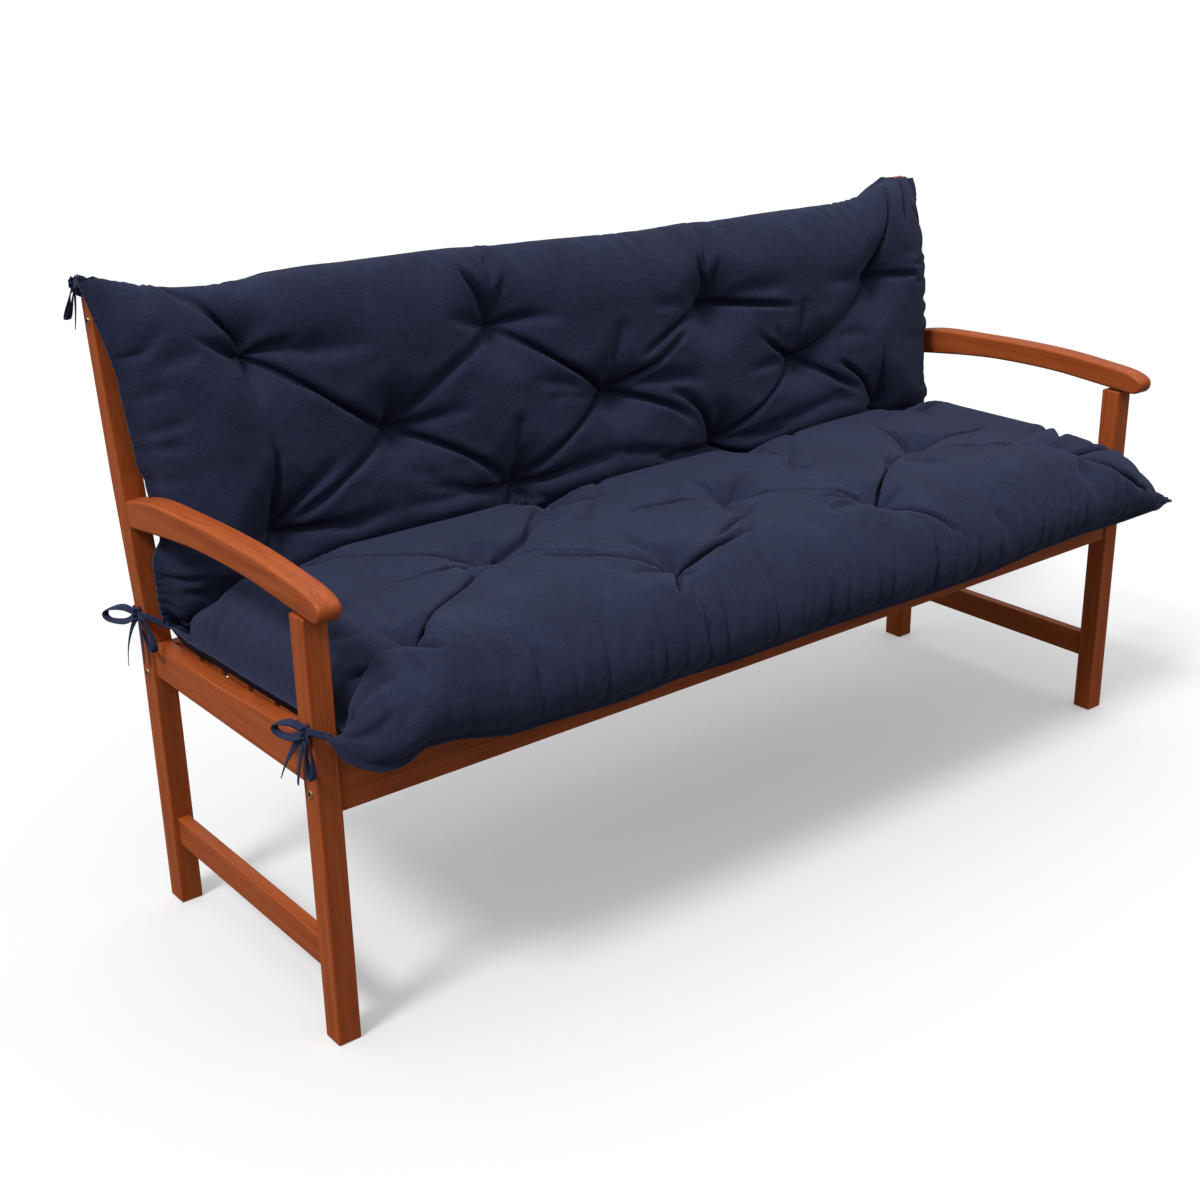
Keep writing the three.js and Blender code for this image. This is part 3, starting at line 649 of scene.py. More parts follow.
floorMesh = bpy.data.meshes.new("floor")
far = light["floorReach"]
floorMesh.from_pydata([(-far, -far, 0), (far, -far, 0), (far, far, 0), (-far, far, 0)], [], [(0, 1, 2, 3)])
floor = bpy.data.objects.new("floor", floorMesh)
bpy.context.collection.objects.link(floor)


def floorMaterial():
    # White with a grey shadow for the camera, dim for the light that it throws back
    material, shader, sketch = startMaterial("floor", Roughness=1.0, Specular_IOR_Level=0.0)
    seen = sketch.add("LightPath").outputs["Is Camera Ray"]
    low, high = light["floorBounce"], light["floor"]
    color = sketch.mix(seen, (low, low, low), (high, high, high))
    sketch.tree.links.new(color, shader.inputs["Base Color"])
    sketch.tree.links.new(sketch.mix(seen, (0, 0, 0), (1, 1, 1)), shader.inputs["Emission Color"])
    shader.inputs["Emission Strength"].default_value = light["floorGlow"]
    material.cycles.emission_sampling = "NONE"
    return material


floorMesh.materials.append(floorMaterial())

# How the cover is blown up by its filling, from coarse cells to fine ones
filling = {
    "pressure": 0.7,  # push on each face in a step, for each square metre of it
    "slackAcross": 0.022,
    "slackAlong": 0.085,
    "bending": 0.08,
    "shear": 0.35,
    "drag": 0.03,
    "levels": [(4, 400), (2, 500), (1, 450)],
    "seamHold": 0.25,
    "foldHold": 0.5,
    "headroom": 0.006,  # how far a bulge may rise above its smooth form
    "tuftRadius": 0.0100,
    "tuftGather": 0.3,
    "noise": 0.0014,
    "evenRounds": 10,
    "sharpen": 0.8,
    "sharpest": 0.012,
    "calmRim": (6, 8),  # cells in from the ends and the sides where the sharpening fades
    "seed": 7,
}


def unit(v):
    return v / (np.linalg.norm(v, axis=-1, keepdims=True) + 1e-9)


def pull(place, a, b, rest, stiffness, pushOnly=False):
    # Moves the points a and b of the sheet towards their distance at rest
    first, second = place[a], place[b]
    gap = second - first
    length = np.sqrt(np.einsum("ijk,ijk->ij", gap, gap)) + 1e-9
    share = stiffness * 0.5 * (1 - rest / length)
    if pushOnly:
        share = np.minimum(share, 0)
    gap *= share[..., None]
    place[a] += gap
    place[b] -= gap


def faceNormal(place):
    return unit(np.cross(np.gradient(place, axis=1), np.gradient(place, axis=0)))


def pullAlong(place, axis, rest, cells, color, stiffness, pushOnly=False):
    # One set of the pairs that lie so many cells apart along one way of the grid; no two share a point
    count = rest.size
    first = slice(color, count, 2 * cells)
    second = slice(color + cells, count + cells, 2 * cells)
    every = slice(None)
    if axis == 0:
        pull(place, (first, every), (second, every), rest[first], stiffness, pushOnly)
    else:
        pull(place, (every, first), (every, second), rest[:, first], stiffness, pushOnly)


def settle(place, flatX, flatY, hold, anchor, roof, groove, steps):
    # One level of the simulation: pressure, then stretch, shear and bending, set by set over the grid
    f = filling
    place = place.astype(np.float32)
    before = place.copy()
    dx = np.diff(flatX).astype(np.float32)[None, :]
    dy = np.diff(flatY).astype(np.float32)[:, None]
    diagonal = np.sqrt(dx ** 2 + dy ** 2)
    bendX = (flatX[2:] - flatX[:-2]).astype(np.float32)[None, :]
    bendY = (flatY[2:] - flatY[:-2]).astype(np.float32)[:, None]
    hold = hold.astype(np.float32)[..., None]
    anchor = anchor.astype(np.float32)
    roof = roof.astype(np.float32)
    roofNormal = faceNormal(roof).astype(np.float32)
    limit = (f["headroom"] - groove).astype(np.float32)
    left, right = slice(0, -1), slice(1, None)
    for step in range(steps):
        normal = np.cross(np.gradient(place, axis=1), np.gradient(place, axis=0))
        moved = (place - before) * (1 - f["drag"])
        before = place.copy()
        place += moved + normal * np.float32(f["pressure"])
        for color in range(2):
            pullAlong(place, 1, dx, 1, color, 1)
            pullAlong(place, 0, dy, 1, color, 1)
        for color in range(2):
            near, far = slice(color, dy.size, 2), slice(color + 1, dy.size + 1, 2)
            pull(place, (near, left), (far, right), diagonal[near], f["shear"])
            pull(place, (near, right), (far, left), diagonal[near], f["shear"])
        for color in range(4):
            pullAlong(place, 1, bendX, 2, color, f["bending"], pushOnly=True)
            pullAlong(place, 0, bendY, 2, color, f["bending"], pushOnly=True)
        over = np.einsum("ijk,ijk->ij", place - roof, roofNormal) - limit
        place -= roofNormal * np.maximum(over, 0)[..., None]
        place += (anchor - place) * hold
        keepOff(place)
    return place


# The grid's rows run from the front seam, over the fold, to the top seam
cellRows = {half: 4 * round(evenRows(half, 10)[1] / cushion["cells"] / 4) for half in ("seat", "back")}
cellColumns = 8 * round(2 * halfWidth / cushion["cells"] / 8)
foldRow = cellRows["seat"]
# Across the fold, from the seat's side to the back's side
between = np.array([-1.0, 0.0]) + backUp
between /= np.linalg.norm(between)
foldAcross = np.array([between[1], -between[0]])


def keepOff(place):
    # The two halves press against each other in the plane that bisects the fold
    fold = foldRow * (place.shape[0] - 1) // sum(cellRows.values())
    middle = cushion["foldMiddle"]
    for part, sign in ((place[:fold], 1), (place[fold + 1:], -1)):
        over = (part[..., 1] - middle[0]) * foldAcross[0] + (part[..., 2] - middle[1]) * foldAcross[1]
        over = np.maximum(over * sign + cushion["foldGap"], 0) * sign
        part[..., 1] -= over * foldAcross[0]
        part[..., 2] -= over * foldAcross[1]


def inPhoto(points):
    # Where the camera sees each point, in pixels of the photo
    turn = np.array(Euler([math.radians(a) for a in camera["turn"]]).to_matrix())
    local = (points - np.array(camera["place"])) @ turn
    scale = camera["lens"] / camera["sensor"] * camera["photoSize"]
    middle = camera["photoSize"] / 2
    across = middle - local[..., 0] / local[..., 2] * scale
    return np.stack([across, middle + local[..., 1] / local[..., 2] * scale], axis=-1)


def fromPhoto(creases, half, u):
    # The creases by x and distance from the fold, where the camera sees the cover at their pixels
    along = np.linspace(0, cushion[half + "Length"], creasing["samples"])
    face, _, x = faceGrid(u, along, half)
    seen = inPhoto(face)
    placed = []
    for depth, width, *pixels in creases:
        off = [((seen - pixel) ** 2).sum(axis=2) for pixel in pixels]
        nearest = [np.unravel_index(distance.argmin(), x.shape) for distance in off]
        placed.append((depth, width, *[(x[at], along[at[0]]) for at in nearest]))
    return placed


def wholeFace(u, plan, upper=True, tufted=True):
    # The seat's face and the back's, joined at the fold
    seat = faceGrid(u, plan["seat"], "seat", upper, tufted)[0]
    back = faceGrid(u, plan["back"], "back", upper, tufted)[0]
    return np.concatenate([seat[:-1], (seat[-1:] + back[:1]) / 2, back[1:]])


def cutFlat(smoothFace):
    # The cover is cut flat: every row is as long as the middle rows, every column as the middle columns
    rows, columns = cellRows["seat"], smoothFace.shape[1]
    across = np.linalg.norm(np.diff(smoothFace, axis=1), axis=2)
    along = np.linalg.norm(np.diff(smoothFace, axis=0), axis=2)
    stepX = np.median(across[rows // 4: rows * 3 // 4], axis=0) * (1 + filling["slackAcross"])
    stepY = np.median(along[:, columns // 6: -columns // 6], axis=1) * (1 + filling["slackAlong"])
    flatX = np.concatenate([[0], np.cumsum(stepX)])
    flatY = np.concatenate([[0], np.cumsum(stepY)])
    flatX -= flatX[-1] / 2
    print("flat cover", round(2 * flatX[-1], 3), "by", round(flatY[-1], 3))
    return flatX, flatY


def pinCover(face, u, plan):
    # How firmly each point is held and where: the seams, the fold, the corners and the gathered tufts
    hold = np.zeros(face.shape[:2])
    hold[[0, -1], :] = filling["seamHold"]
    hold[:, [0, -1]] = filling["seamHold"]
    hold[foldRow, :] = filling["foldHold"]
    for corner in ((0, 0), (0, -1), (-1, 0), (-1, -1), (foldRow, 0), (foldRow, -1)):
        hold[corner] = 1
    anchor = face.copy()
    for half, firstRow, level in (("seat", 0, 2), ("back", foldRow, 1)):
        _, tufts, x = faceGrid(u, plan[half], half)
        for tx, at in tufts:
            distance = np.hypot(x - tx, plan[half][:, None] - at)
            near = np.nonzero(distance < filling["tuftRadius"])
            best = np.unravel_index(distance.argmin(), distance.shape)
            centre = face[firstRow + best[0], best[1]]
            for i, j in list(zip(*near)) + [best]:
                point = (firstRow + i, j)
                anchor[point] = centre + (face[point] - centre) * filling["tuftGather"]
                anchor[point][level] = centre[level]
                hold[point] = 1
    return hold, anchor


def foldGrooves(u, plan):
    # How deep the creases and the puckers press the cover in, over the whole grid
    depths = []
    for half, creases in (("seat", seatCreases), ("back", backCreases)):
        x = faceGrid(u, plan[half], half)[2]
        rows = fromPhoto(creases, half, u) + seamPuckers(half)
        depths.append(grooves(x, plan[half][:, None], rows))
    return np.concatenate([depths[0][:-1], depths[1]])


def easeCover(place, face, flatX, flatY, u, plan):
    # Back towards the smooth form, near the corners and at the calm places
    for corner in cornerPulls:
        fromSide = flatX - flatX[0 if corner["side"] < 0 else -1]
        fromEnd = flatY - flatY[0 if corner["half"] == "seat" else -1]
        distance = np.hypot(fromSide[None, :], fromEnd[:, None])
        share = corner["calm"] * smooth(1 - distance / corner["calmReach"])
        place += (face - place) * share[..., None]
    for half, x, r, reach, amount in calmPlaces:
        part = slice(foldRow, None) if half == "back" else slice(0, foldRow + 1)
        distance = np.hypot(u[None, :] * halfWidth - x, plan[half][:, None] - r)
        place[part] += (face[part] - place[part]) * (amount * smooth(1 - distance / reach))[..., None]


def makeCushion():
    u = np.linspace(-1, 1, cellColumns + 1)
    plan = {half: evenRows(half, cellRows[half])[0] for half in cellRows}
    plan["seat"] = plan["seat"][::-1]
    print("cushion grid", cellColumns, cellRows)
    smoothFace = wholeFace(u, plan, tufted=False)
    face = wholeFace(u, plan)
    under = wholeFace(u, plan, upper=False)
    flatX, flatY = cutFlat(smoothFace)
    hold, anchor = pinCover(face, u, plan)
    random = np.random.default_rng(filling["seed"])
    groove = foldGrooves(u, plan)
    coarsest = filling["levels"][0][0]
    place = (smoothFace - faceNormal(smoothFace) * groove[..., None])[::coarsest, ::coarsest]
    for step, rounds in filling["levels"]:
        if step != coarsest:
            place = finer(place)
        part = (slice(None, None, step), slice(None, None, step))
        levelHold, levelAnchor = hold[part].copy(), anchor[part].copy()
        spreadTufts(levelHold, levelAnchor, hold, anchor, step)
        place = place + random.normal(0, filling["noise"] * math.sqrt(step), place.shape)
        place = settle(place, flatX[::step], flatY[::step], levelHold, levelAnchor, smoothFace[part],
                       groove[part], rounds)
        print("cushion filled, level", step)
    place = sharper(place)
    easeCover(place, face, flatX, flatY, u, plan)
    moved = np.linalg.norm(place - face, axis=2)
    print("cover moved, mean and most", moved.mean(), moved.max())
    return place, under, face, flatX, flatY


def fromRim(count):
    # For each row or column of the grid, how many cells lie between it and the nearer rim
    return np.minimum(np.arange(count), np.arange(count)[::-1])


def sharper(place):
    # Deepens the folds: what stands off the evened form is made to stand off more
    even = place.copy()
    for _ in range(filling["evenRounds"]):
        even[1:-1, 1:-1] = (even[1:-1, 1:-1] * 2 + even[:-2, 1:-1] + even[2:, 1:-1] + even[1:-1, :-2]
                            + even[1:-1, 2:]) / 6
    detail = np.clip(place - even, -filling["sharpest"], filling["sharpest"]) * filling["sharpen"]
    ends, sides = filling["calmRim"]
    calm = np.clip(fromRim(place.shape[1]) / sides, 0, 1)[None, :]
    calm = calm * np.clip(fromRim(place.shape[0]) / ends, 0, 1)[:, None]
    return place + detail * calm[..., None]


def spreadTufts(levelHold, levelAnchor, hold, anchor, step):
    # On a coarse grid each tuft holds its nearest point
    if step == 1:
        return
    for i, j in zip(*np.nonzero(hold == 1)):
        levelHold[round(i / step), round(j / step)] = 1
        levelAnchor[round(i / step), round(j / step)] = anchor[i, j]


def finer(place):
    # Twice as many cells each way, with the new points on smooth curves
    for axis in (0, 1):
        place = np.moveaxis(place, axis, 0)
        wide = np.repeat(place, 2, axis=0)[:-1]
        wide[1::2] = (place[:-1] + place[1:]) / 2
        inner = wide[3:-3:2]
        inner += (place[1:-2] + place[2:-1] - place[:-3] - place[3:]) / 16
        place = np.moveaxis(wide, 0, axis)
    return place


def edgeLoop(nr, nc):
    # Rows and columns of the grid's rim: along the front, up the right, back along the top, down the left
    rows = [0] * nc + list(range(1, nr)) + [nr - 1] * (nc - 1) + list(range(nr - 2, 0, -1))
    columns = list(range(nc)) + [nc - 1] * (nr - 1) + list(range(nc - 2, -1, -1)) + [0] * (nr - 2)
    return np.array(rows), np.array(columns)


def settleUnder(lower, upper, rimStart):
    # The underside follows the rim where the cover's seam has moved
    shift = upper - rimStart
    down = np.arange(lower.shape[0])[:, None, None] * cushion["cells"]
    across = np.arange(lower.shape[1])[None, :, None] * cushion["cells"]
    ends = ((shift[:1], down), (shift[-1:], down[::-1]))
    sides = ((shift[:, :1], across), (shift[:, -1:], across[:, ::-1]))
    total, amount = 0, 0
    for moved, distance in ends + sides:
        weight = np.clip(1 - distance / cushion["underReach"], 0, 1) ** 2
        total = total + moved * weight
        amount = amount + weight
    return lower + total / np.maximum(1, amount)


def closeCover(upper, lower, flatX, flatY):
    # Joins the faces at a narrow flat seam that stands out all round
    nr, nc = upper.shape[:2]
    rimRows, rimColumns = edgeLoop(nr, nc)
    rim = upper[rimRows, rimColumns]
    inRows, inColumns = np.clip(rimRows, 3, nr - 4), np.clip(rimColumns, 3, nc - 4)
    corner = ((rimRows == 0) | (rimRows == nr - 1)) & ((rimColumns == 0) | (rimColumns == nc - 1))
    outward = unit(rim - upper[inRows, inColumns]) + unit(rim - lower[inRows, inColumns])
    tangent = unit(np.roll(rim, -1, axis=0) - np.roll(rim, 1, axis=0))
    outward -= tangent * (outward * tangent).sum(axis=1, keepdims=True) * ~corner[:, None]
    for _ in range(3):
        outward = unit(outward + 0.5 * (np.roll(outward, 1, axis=0) + np.roll(outward, -1, axis=0)))
    up = unit(np.cross(outward, tangent))
    width = cushion["flange"] * (1 + cushion["flangeCorner"] * corner[:, None])
    half = cushion["flangeThickness"] / 2
    shoulder, thinner = cushion["flangeShoulder"]
    upper, lower = upper.copy(), lower.copy()
    upper[rimRows, rimColumns] = rim + up * half
    lower[rimRows, rimColumns] = rim - up * half
    rings = [rim + outward * width * shoulder + up * half * thinner, rim + outward * width,
             rim + outward * width * shoulder - up * half * thinner]
    upperIndex = np.arange(nr * nc).reshape(nr, nc)
    # The underside keeps every second point, and the rim's
    used = np.zeros((nr, nc), bool)
    used[::2, ::2] = True
    used[rimRows, rimColumns] = True
    lowerIndex = np.full((nr, nc), -1)
    lowerIndex[used] = nr * nc + np.arange(used.sum())
    start = nr * nc + used.sum()
    count = len(rimRows)
    ringIndex = start + np.arange(3 * count).reshape(3, count)
    verts = np.concatenate([upper.reshape(-1, 3), lower[used]] + rings)
    quads = [upperIndex[:-1, :-1], upperIndex[:-1, 1:], upperIndex[1:, 1:], upperIndex[1:, :-1]]
    faces = [tuple(q) for q in np.stack(quads, axis=-1).reshape(-1, 4)]
    around = [(0, 0), (1, 0), (2, 0), (2, 1), (2, 2), (1, 2), (0, 2), (0, 1)]
    for i in range(0, nr - 1, 2):
        for j in range(0, nc - 1, 2):
            ids = [lowerIndex[i + down, j + right] for down, right in around]
            faces.append(tuple(k for k in ids if k >= 0))
    loops = [upperIndex[rimRows, rimColumns], *ringIndex, lowerIndex[rimRows, rimColumns]]
    for first, second in zip(loops, loops[1:]):
        for k in range(count):
            n = (k + 1) % count
            faces.append((first[k], second[k], second[n], first[n]))
    travelled = np.concatenate([[0], np.cumsum(np.linalg.norm(np.diff(rim, axis=0), axis=1))])
    seamMarks = np.zeros((len(verts), 3))
    seamMarks[upperIndex[rimRows, rimColumns], 1] = travelled
    seamMarks[lowerIndex[rimRows, rimColumns], 1] = travelled
    for ring, out in zip(ringIndex, (shoulder, 1.0, shoulder)):
        seamMarks[ring, 0] = out
        seamMarks[ring, 1] = travelled
    flat = np.stack([*np.meshgrid(flatX, flatY), np.zeros((nr, nc))], axis=-1)
    cover = np.concatenate([flat.reshape(-1, 3), flat[used] + (5, 3, 0)] + [flat[rimRows, rimColumns]] * 3)
    # The left corners at the front, the fold and the top, where the ties start
    starts = [np.nonzero((rimRows == row) & (rimColumns == 0))[0][0] for row in (0, foldRow, nr - 1)]
    tips = [rings[1][start] for start in starts]
    return verts, faces, cover, seamMarks, tips


print("cushion")
face, lowFace, startFace, flatX, flatY = makeCushion()
lowFace = settleUnder(lowFace, face, startFace)
verts, faces, cover, seamMarks, cornerTips = closeCover(face, lowFace, flatX, flatY)
clothLook = {
    "color": (0.0232, 0.0278, 0.0625),
    "threads": 800.0,  # threads in a metre of cloth
    "variation": 0.9,
    # painted highlight: the flange's outer edge is coloured lighter, as if lit
    "edgeHighlight": (0.10, 0.11, 0.15),
    # painted shade: the darker colour laid into the stitched groove
    "grooveShade": (0.010, 0.012, 0.026),
    "stitchColor": (0.055, 0.062, 0.11),
    "stitch": 0.0042,
    "crumple": 14.0,
    "crumpleScale": 17.0,
    "ridges": 2.2,
    "ridgeScale": (26.0, 34.0, 1.0),
    "bump": (0.35, 0.0004),
    "highlightFrom": (0.90, 0.985),  # shares of the seam's flange, from the cover outwards, where the painted highlight on its outer edge starts and is full
    "grooveFrom": (0.16, 0.30, 0.46),  # where the stitched groove starts, is deepest and ends; it is pressed in by bump and darkened with painted shade
}


def clothMaterial():
    material, shader, sketch = startMaterial(
        "navy cloth", Specular_IOR_Level=0.10, Sheen_Weight=0.10, Sheen_Roughness=0.55)
    shader.inputs["Sheen Tint"].default_value = (0.55, 0.62, 0.9, 1)
    look = clothLook
    place = sketch.add("Attribute", {"attribute_name": "cover"}).outputs["Vector"]
    seam = sketch.add("Attribute", {"attribute_name": "seam"}).outputs["Vector"]
    seamParts = sketch.add("SeparateXYZ", None, Vector=seam)
    out, along = seamParts.outputs[0], seamParts.outputs[1]
    woven = useEffect(sketch, weave, Place=place, Color=look["color"], Threads=look["threads"],
                      Variation=look["variation"])
    # edge is the mask of the painted highlight along the flange's outer edge
    edge = sketch.spread(out, *look["highlightFrom"])
    start, deepest, end = look["grooveFrom"]
    falling = sketch.spread(out, deepest, end, 1.0, 0.0)
    groove = sketch.math("MULTIPLY", sketch.spread(out, start, deepest), falling)
    turn = sketch.math("MULTIPLY", along, 2 * math.pi / look["stitch"])
    dashes = sketch.spread(sketch.math("SINE", turn), -0.5, 0.1)
    stitches = sketch.math("MULTIPLY", groove, dashes)
    # Painted shade: the stitched groove is darkened
    color = sketch.mix(sketch.math("MULTIPLY", groove, 0.7), woven["Color"], look["grooveShade"])
    color = sketch.mix(sketch.math("MULTIPLY", stitches, 0.6), color, look["stitchColor"])
    # Painted highlight: the flange's outer edge is lightened
    color = sketch.mix(sketch.math("MULTIPLY", edge, 0.75), color, look["edgeHighlight"])
    sketch.tree.links.new(color, shader.inputs["Base Color"])
    sketch.tree.links.new(woven["Roughness"], shader.inputs["Roughness"])
    crumple = sketch.noise(place, look["crumpleScale"], 3.0, 0.55)
    fine = sketch.noise(sketch.stretched(place, look["ridgeScale"]), 1.0, 2.0, 0.5)
    ridge = sketch.spread(sketch.math("ABSOLUTE", sketch.math("SUBTRACT", fine, 0.5)), 0.0, 0.05, 1.0, 0.0)
    height = sketch.math("MULTIPLY_ADD", stitches, 1.5, woven["Height"])
    height = sketch.math("MULTIPLY_ADD", crumple, look["crumple"], height)
    height = sketch.math("MULTIPLY_ADD", ridge, look["ridges"], height)
    height = sketch.math("SUBTRACT", height, sketch.math("MULTIPLY", groove, 1.2))
    addBump(sketch, shader, height, *look["bump"])
    return material


piece = makePiece("cushion_filled", verts + np.array(origin), faces, "cushion")
addAttribute(piece, "cover", cover)
addAttribute(piece, "seam", seamMarks)
print("cushion faces", sum(len(f) - 2 for f in faces))
piece.data.materials.append(clothMaterial())

print("wood")
wood = {
    "edge": 0.0022,
    "armEdge": 0.0065,
    "dark": (0.34, 0.066, 0.014),
    "light": (0.50, 0.112, 0.026),
    "pores": (0.19, 0.034, 0.008),
    "roughness": 0.42,
    "bump": (0.25, 0.0003),
    "sharpFrom": 35,  # degrees between two faces whose edge is eased
    "seed": 3,
    "shift": 3,  # how far apart the boards may lie in the grain
}


def woodMaterial():
    material, shader, sketch = startMaterial("bench wood", Specular_IOR_Level=0.22, Coat_Roughness=0.25)
    place = sketch.add("Attribute", {"attribute_name": "board"}).outputs["Vector"]
    grained = useEffect(sketch, grain, Place=place, Dark=wood["dark"], Light=wood["light"],
                        Pores=wood["pores"], Roughness=wood["roughness"])
    sketch.tree.links.new(grained["Color"], shader.inputs["Base Color"])
    sketch.tree.links.new(grained["Roughness"], shader.inputs["Roughness"])
    varnish = sketch.noise(place, 6.0, 2.0)
    sketch.tree.links.new(sketch.spread(varnish, 0.3, 0.7, 0.02, 0.10), shader.inputs["Coat Weight"])
    addBump(sketch, shader, grained["Height"], *wood["bump"])
    return material


benchWood = woodMaterial()
placing = np.random.default_rng(wood["seed"])
# The order in which each kind of board gives its axes: the grain runs along the first
grainWays = {
    ("arm", "side_rail", "stretcher", "seat_bearer"): (1, 0, 2),
    ("front_leg", "rear_post", "backrest_slat"): (2, 0, 1),
    ("",): (0, 1, 2),  # all others
}


def makeBoard(name, node):
    # The solid's own faces, joined where they are flat, with grain along it and eased edges
    bm = bmesh.new()
    bm.from_mesh(node.data)
    bmesh.ops.remove_doubles(bm, verts=bm.verts, dist=1e-5)
    bmesh.ops.dissolve_limit(bm, angle_limit=math.radians(0.6), verts=bm.verts, edges=bm.edges)
    bmesh.ops.recalc_face_normals(bm, faces=bm.faces)
    verts = np.array([v.co[:] for v in bm.verts])
    faces = [[v.index for v in f.verts] for f in bm.faces]
    bm.free()
    board = makePiece("wood_" + name, verts, faces, name)
    order = next(way for starts, way in grainWays.items() if name.startswith(starts))
    addAttribute(board, "board", verts[:, order] + placing.uniform(-wood["shift"], wood["shift"], 3))
    isArm = name.startswith("arm")
    ease = board.modifiers.new("eased edges", "BEVEL")
    ease.width = wood["armEdge"] if isArm else wood["edge"]
    ease.segments = 3 if isArm else 2
    ease.limit_method = "ANGLE"
    ease.angle_limit = math.radians(wood["sharpFrom"])
    ease.harden_normals = True
    board.data.materials.append(benchWood)


for name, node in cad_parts.items():
    if not name.startswith(("cushion", "tie", "barrel")):
        makeBoard(name, node)

print("nuts")
nuts = {
    "radius": 0.0056,
    "height": 0.0016,
    "socket": 0.0024,
    "sides": 36,
    "floor": 0.25,  # the socket's floor, as a share of the nut's height
    "sharpFrom": 35,
    "color": (0.82, 0.64, 0.30),
    "dull": (0.40, 0.29, 0.11),
    # painted shade for the hexagon socket: near black, with a faint mottle
    "paintedShade": (0.010, 0.008, 0.006),
    "paintedShadeLight": (0.03, 0.022, 0.012),
}


def brassMaterial():
    material, shader, sketch = startMaterial("nut brass", Metallic=1.0)
    place = sketch.add("TexCoord").outputs["Object"]
    tarnish = sketch.noise(place, 420.0, 4.0, 0.6)
    sketch.tree.links.new(sketch.mix(sketch.spread(tarnish, 0.42, 0.68), nuts["color"], nuts["dull"]),
                          shader.inputs["Base Color"])
    sketch.tree.links.new(sketch.spread(tarnish, 0.4, 0.7, 0.28, 0.55), shader.inputs["Roughness"])
    addBump(sketch, shader, sketch.noise(place, 1800.0, 2.0), 0.2, 0.0001)
    # The socket's own material is painted shade: the recess is coloured near black, not left to the light
    socket, socketShader, socketSketch = startMaterial("nut socket", Specular_IOR_Level=0.1)
    paintedShade = socketSketch.noise(socketSketch.add("TexCoord").outputs["Object"], 900.0, 3.0)
    shadedSocket = socketSketch.mix(socketSketch.spread(paintedShade, 0.4, 0.6), nuts["paintedShade"], nuts["paintedShadeLight"])
    socketSketch.tree.links.new(shadedSocket, socketShader.inputs["Base Color"])
    return material, socket


def makeNut(name, materials):
    # Turned from a profile of radius and height, with a hexagon socket
    low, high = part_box(name)
    middle = (low + high) / 2
    side = -1 if middle.x < origin.x else 1
    base = high.x if side < 0 else low.x
    r, h, count, floorShare = nuts["radius"], nuts["height"], nuts["sides"], nuts["floor"]
    # Shares of the radius and the height, from the rim at the board to the edge of the socket
    profile = [(1, 0), (1, 0.55), (0.94, 0.88), (0.84, 1), (0.56, 1), (0.50, 0.92)]
    turns = 2 * np.pi * np.arange(count) / count
    hexagon = nuts["socket"] / np.cos((turns + np.pi / 6) % (np.pi / 3) - np.pi / 6)
    rings = [(np.full(count, r * out), h * up) for out, up in profile]
    rings += [(hexagon, h * 0.9), (hexagon, h * floorShare)]
    verts = [(base + side * up, middle.y + out * math.cos(t), middle.z + out * math.sin(t))
             for radii, up in rings for out, t in zip(radii, turns)]
    verts += [(base + side * h * floorShare, middle.y, middle.z)]
    faces = []
    for ring in range(len(rings) - 1):
        for k in range(count):
            n = (k + 1) % count
            quad = (ring * count + k, ring * count + n, (ring + 1) * count + n, (ring + 1) * count + k)
            faces.append(quad if side > 0 else quad[::-1])
    inner = (len(rings) - 1) * count
    for k in range(count):
        fan = (inner + k, inner + (k + 1) % count, len(verts) - 1)
        faces.append(fan if side > 0 else fan[::-1])
    faces.append(tuple(range(count)) if side < 0 else tuple(range(count))[::-1])
    nut = makePiece(name + "_turned", verts, faces, name)
    for material in materials:
        nut.data.materials.append(material)
    # The socket's faces take the second material, the painted shade
    for polygon in nut.data.polygons:
        polygon.material_index = int(min(polygon.vertices) >= (len(rings) - 2) * count)
    nut.data.set_sharp_from_angle(angle=math.radians(nuts["sharpFrom"]))


nutMaterials = brassMaterial()
for name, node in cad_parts.items():
    if name.startswith("barrel_nut"):
        makeNut(name, nutMaterials)

print("ties")
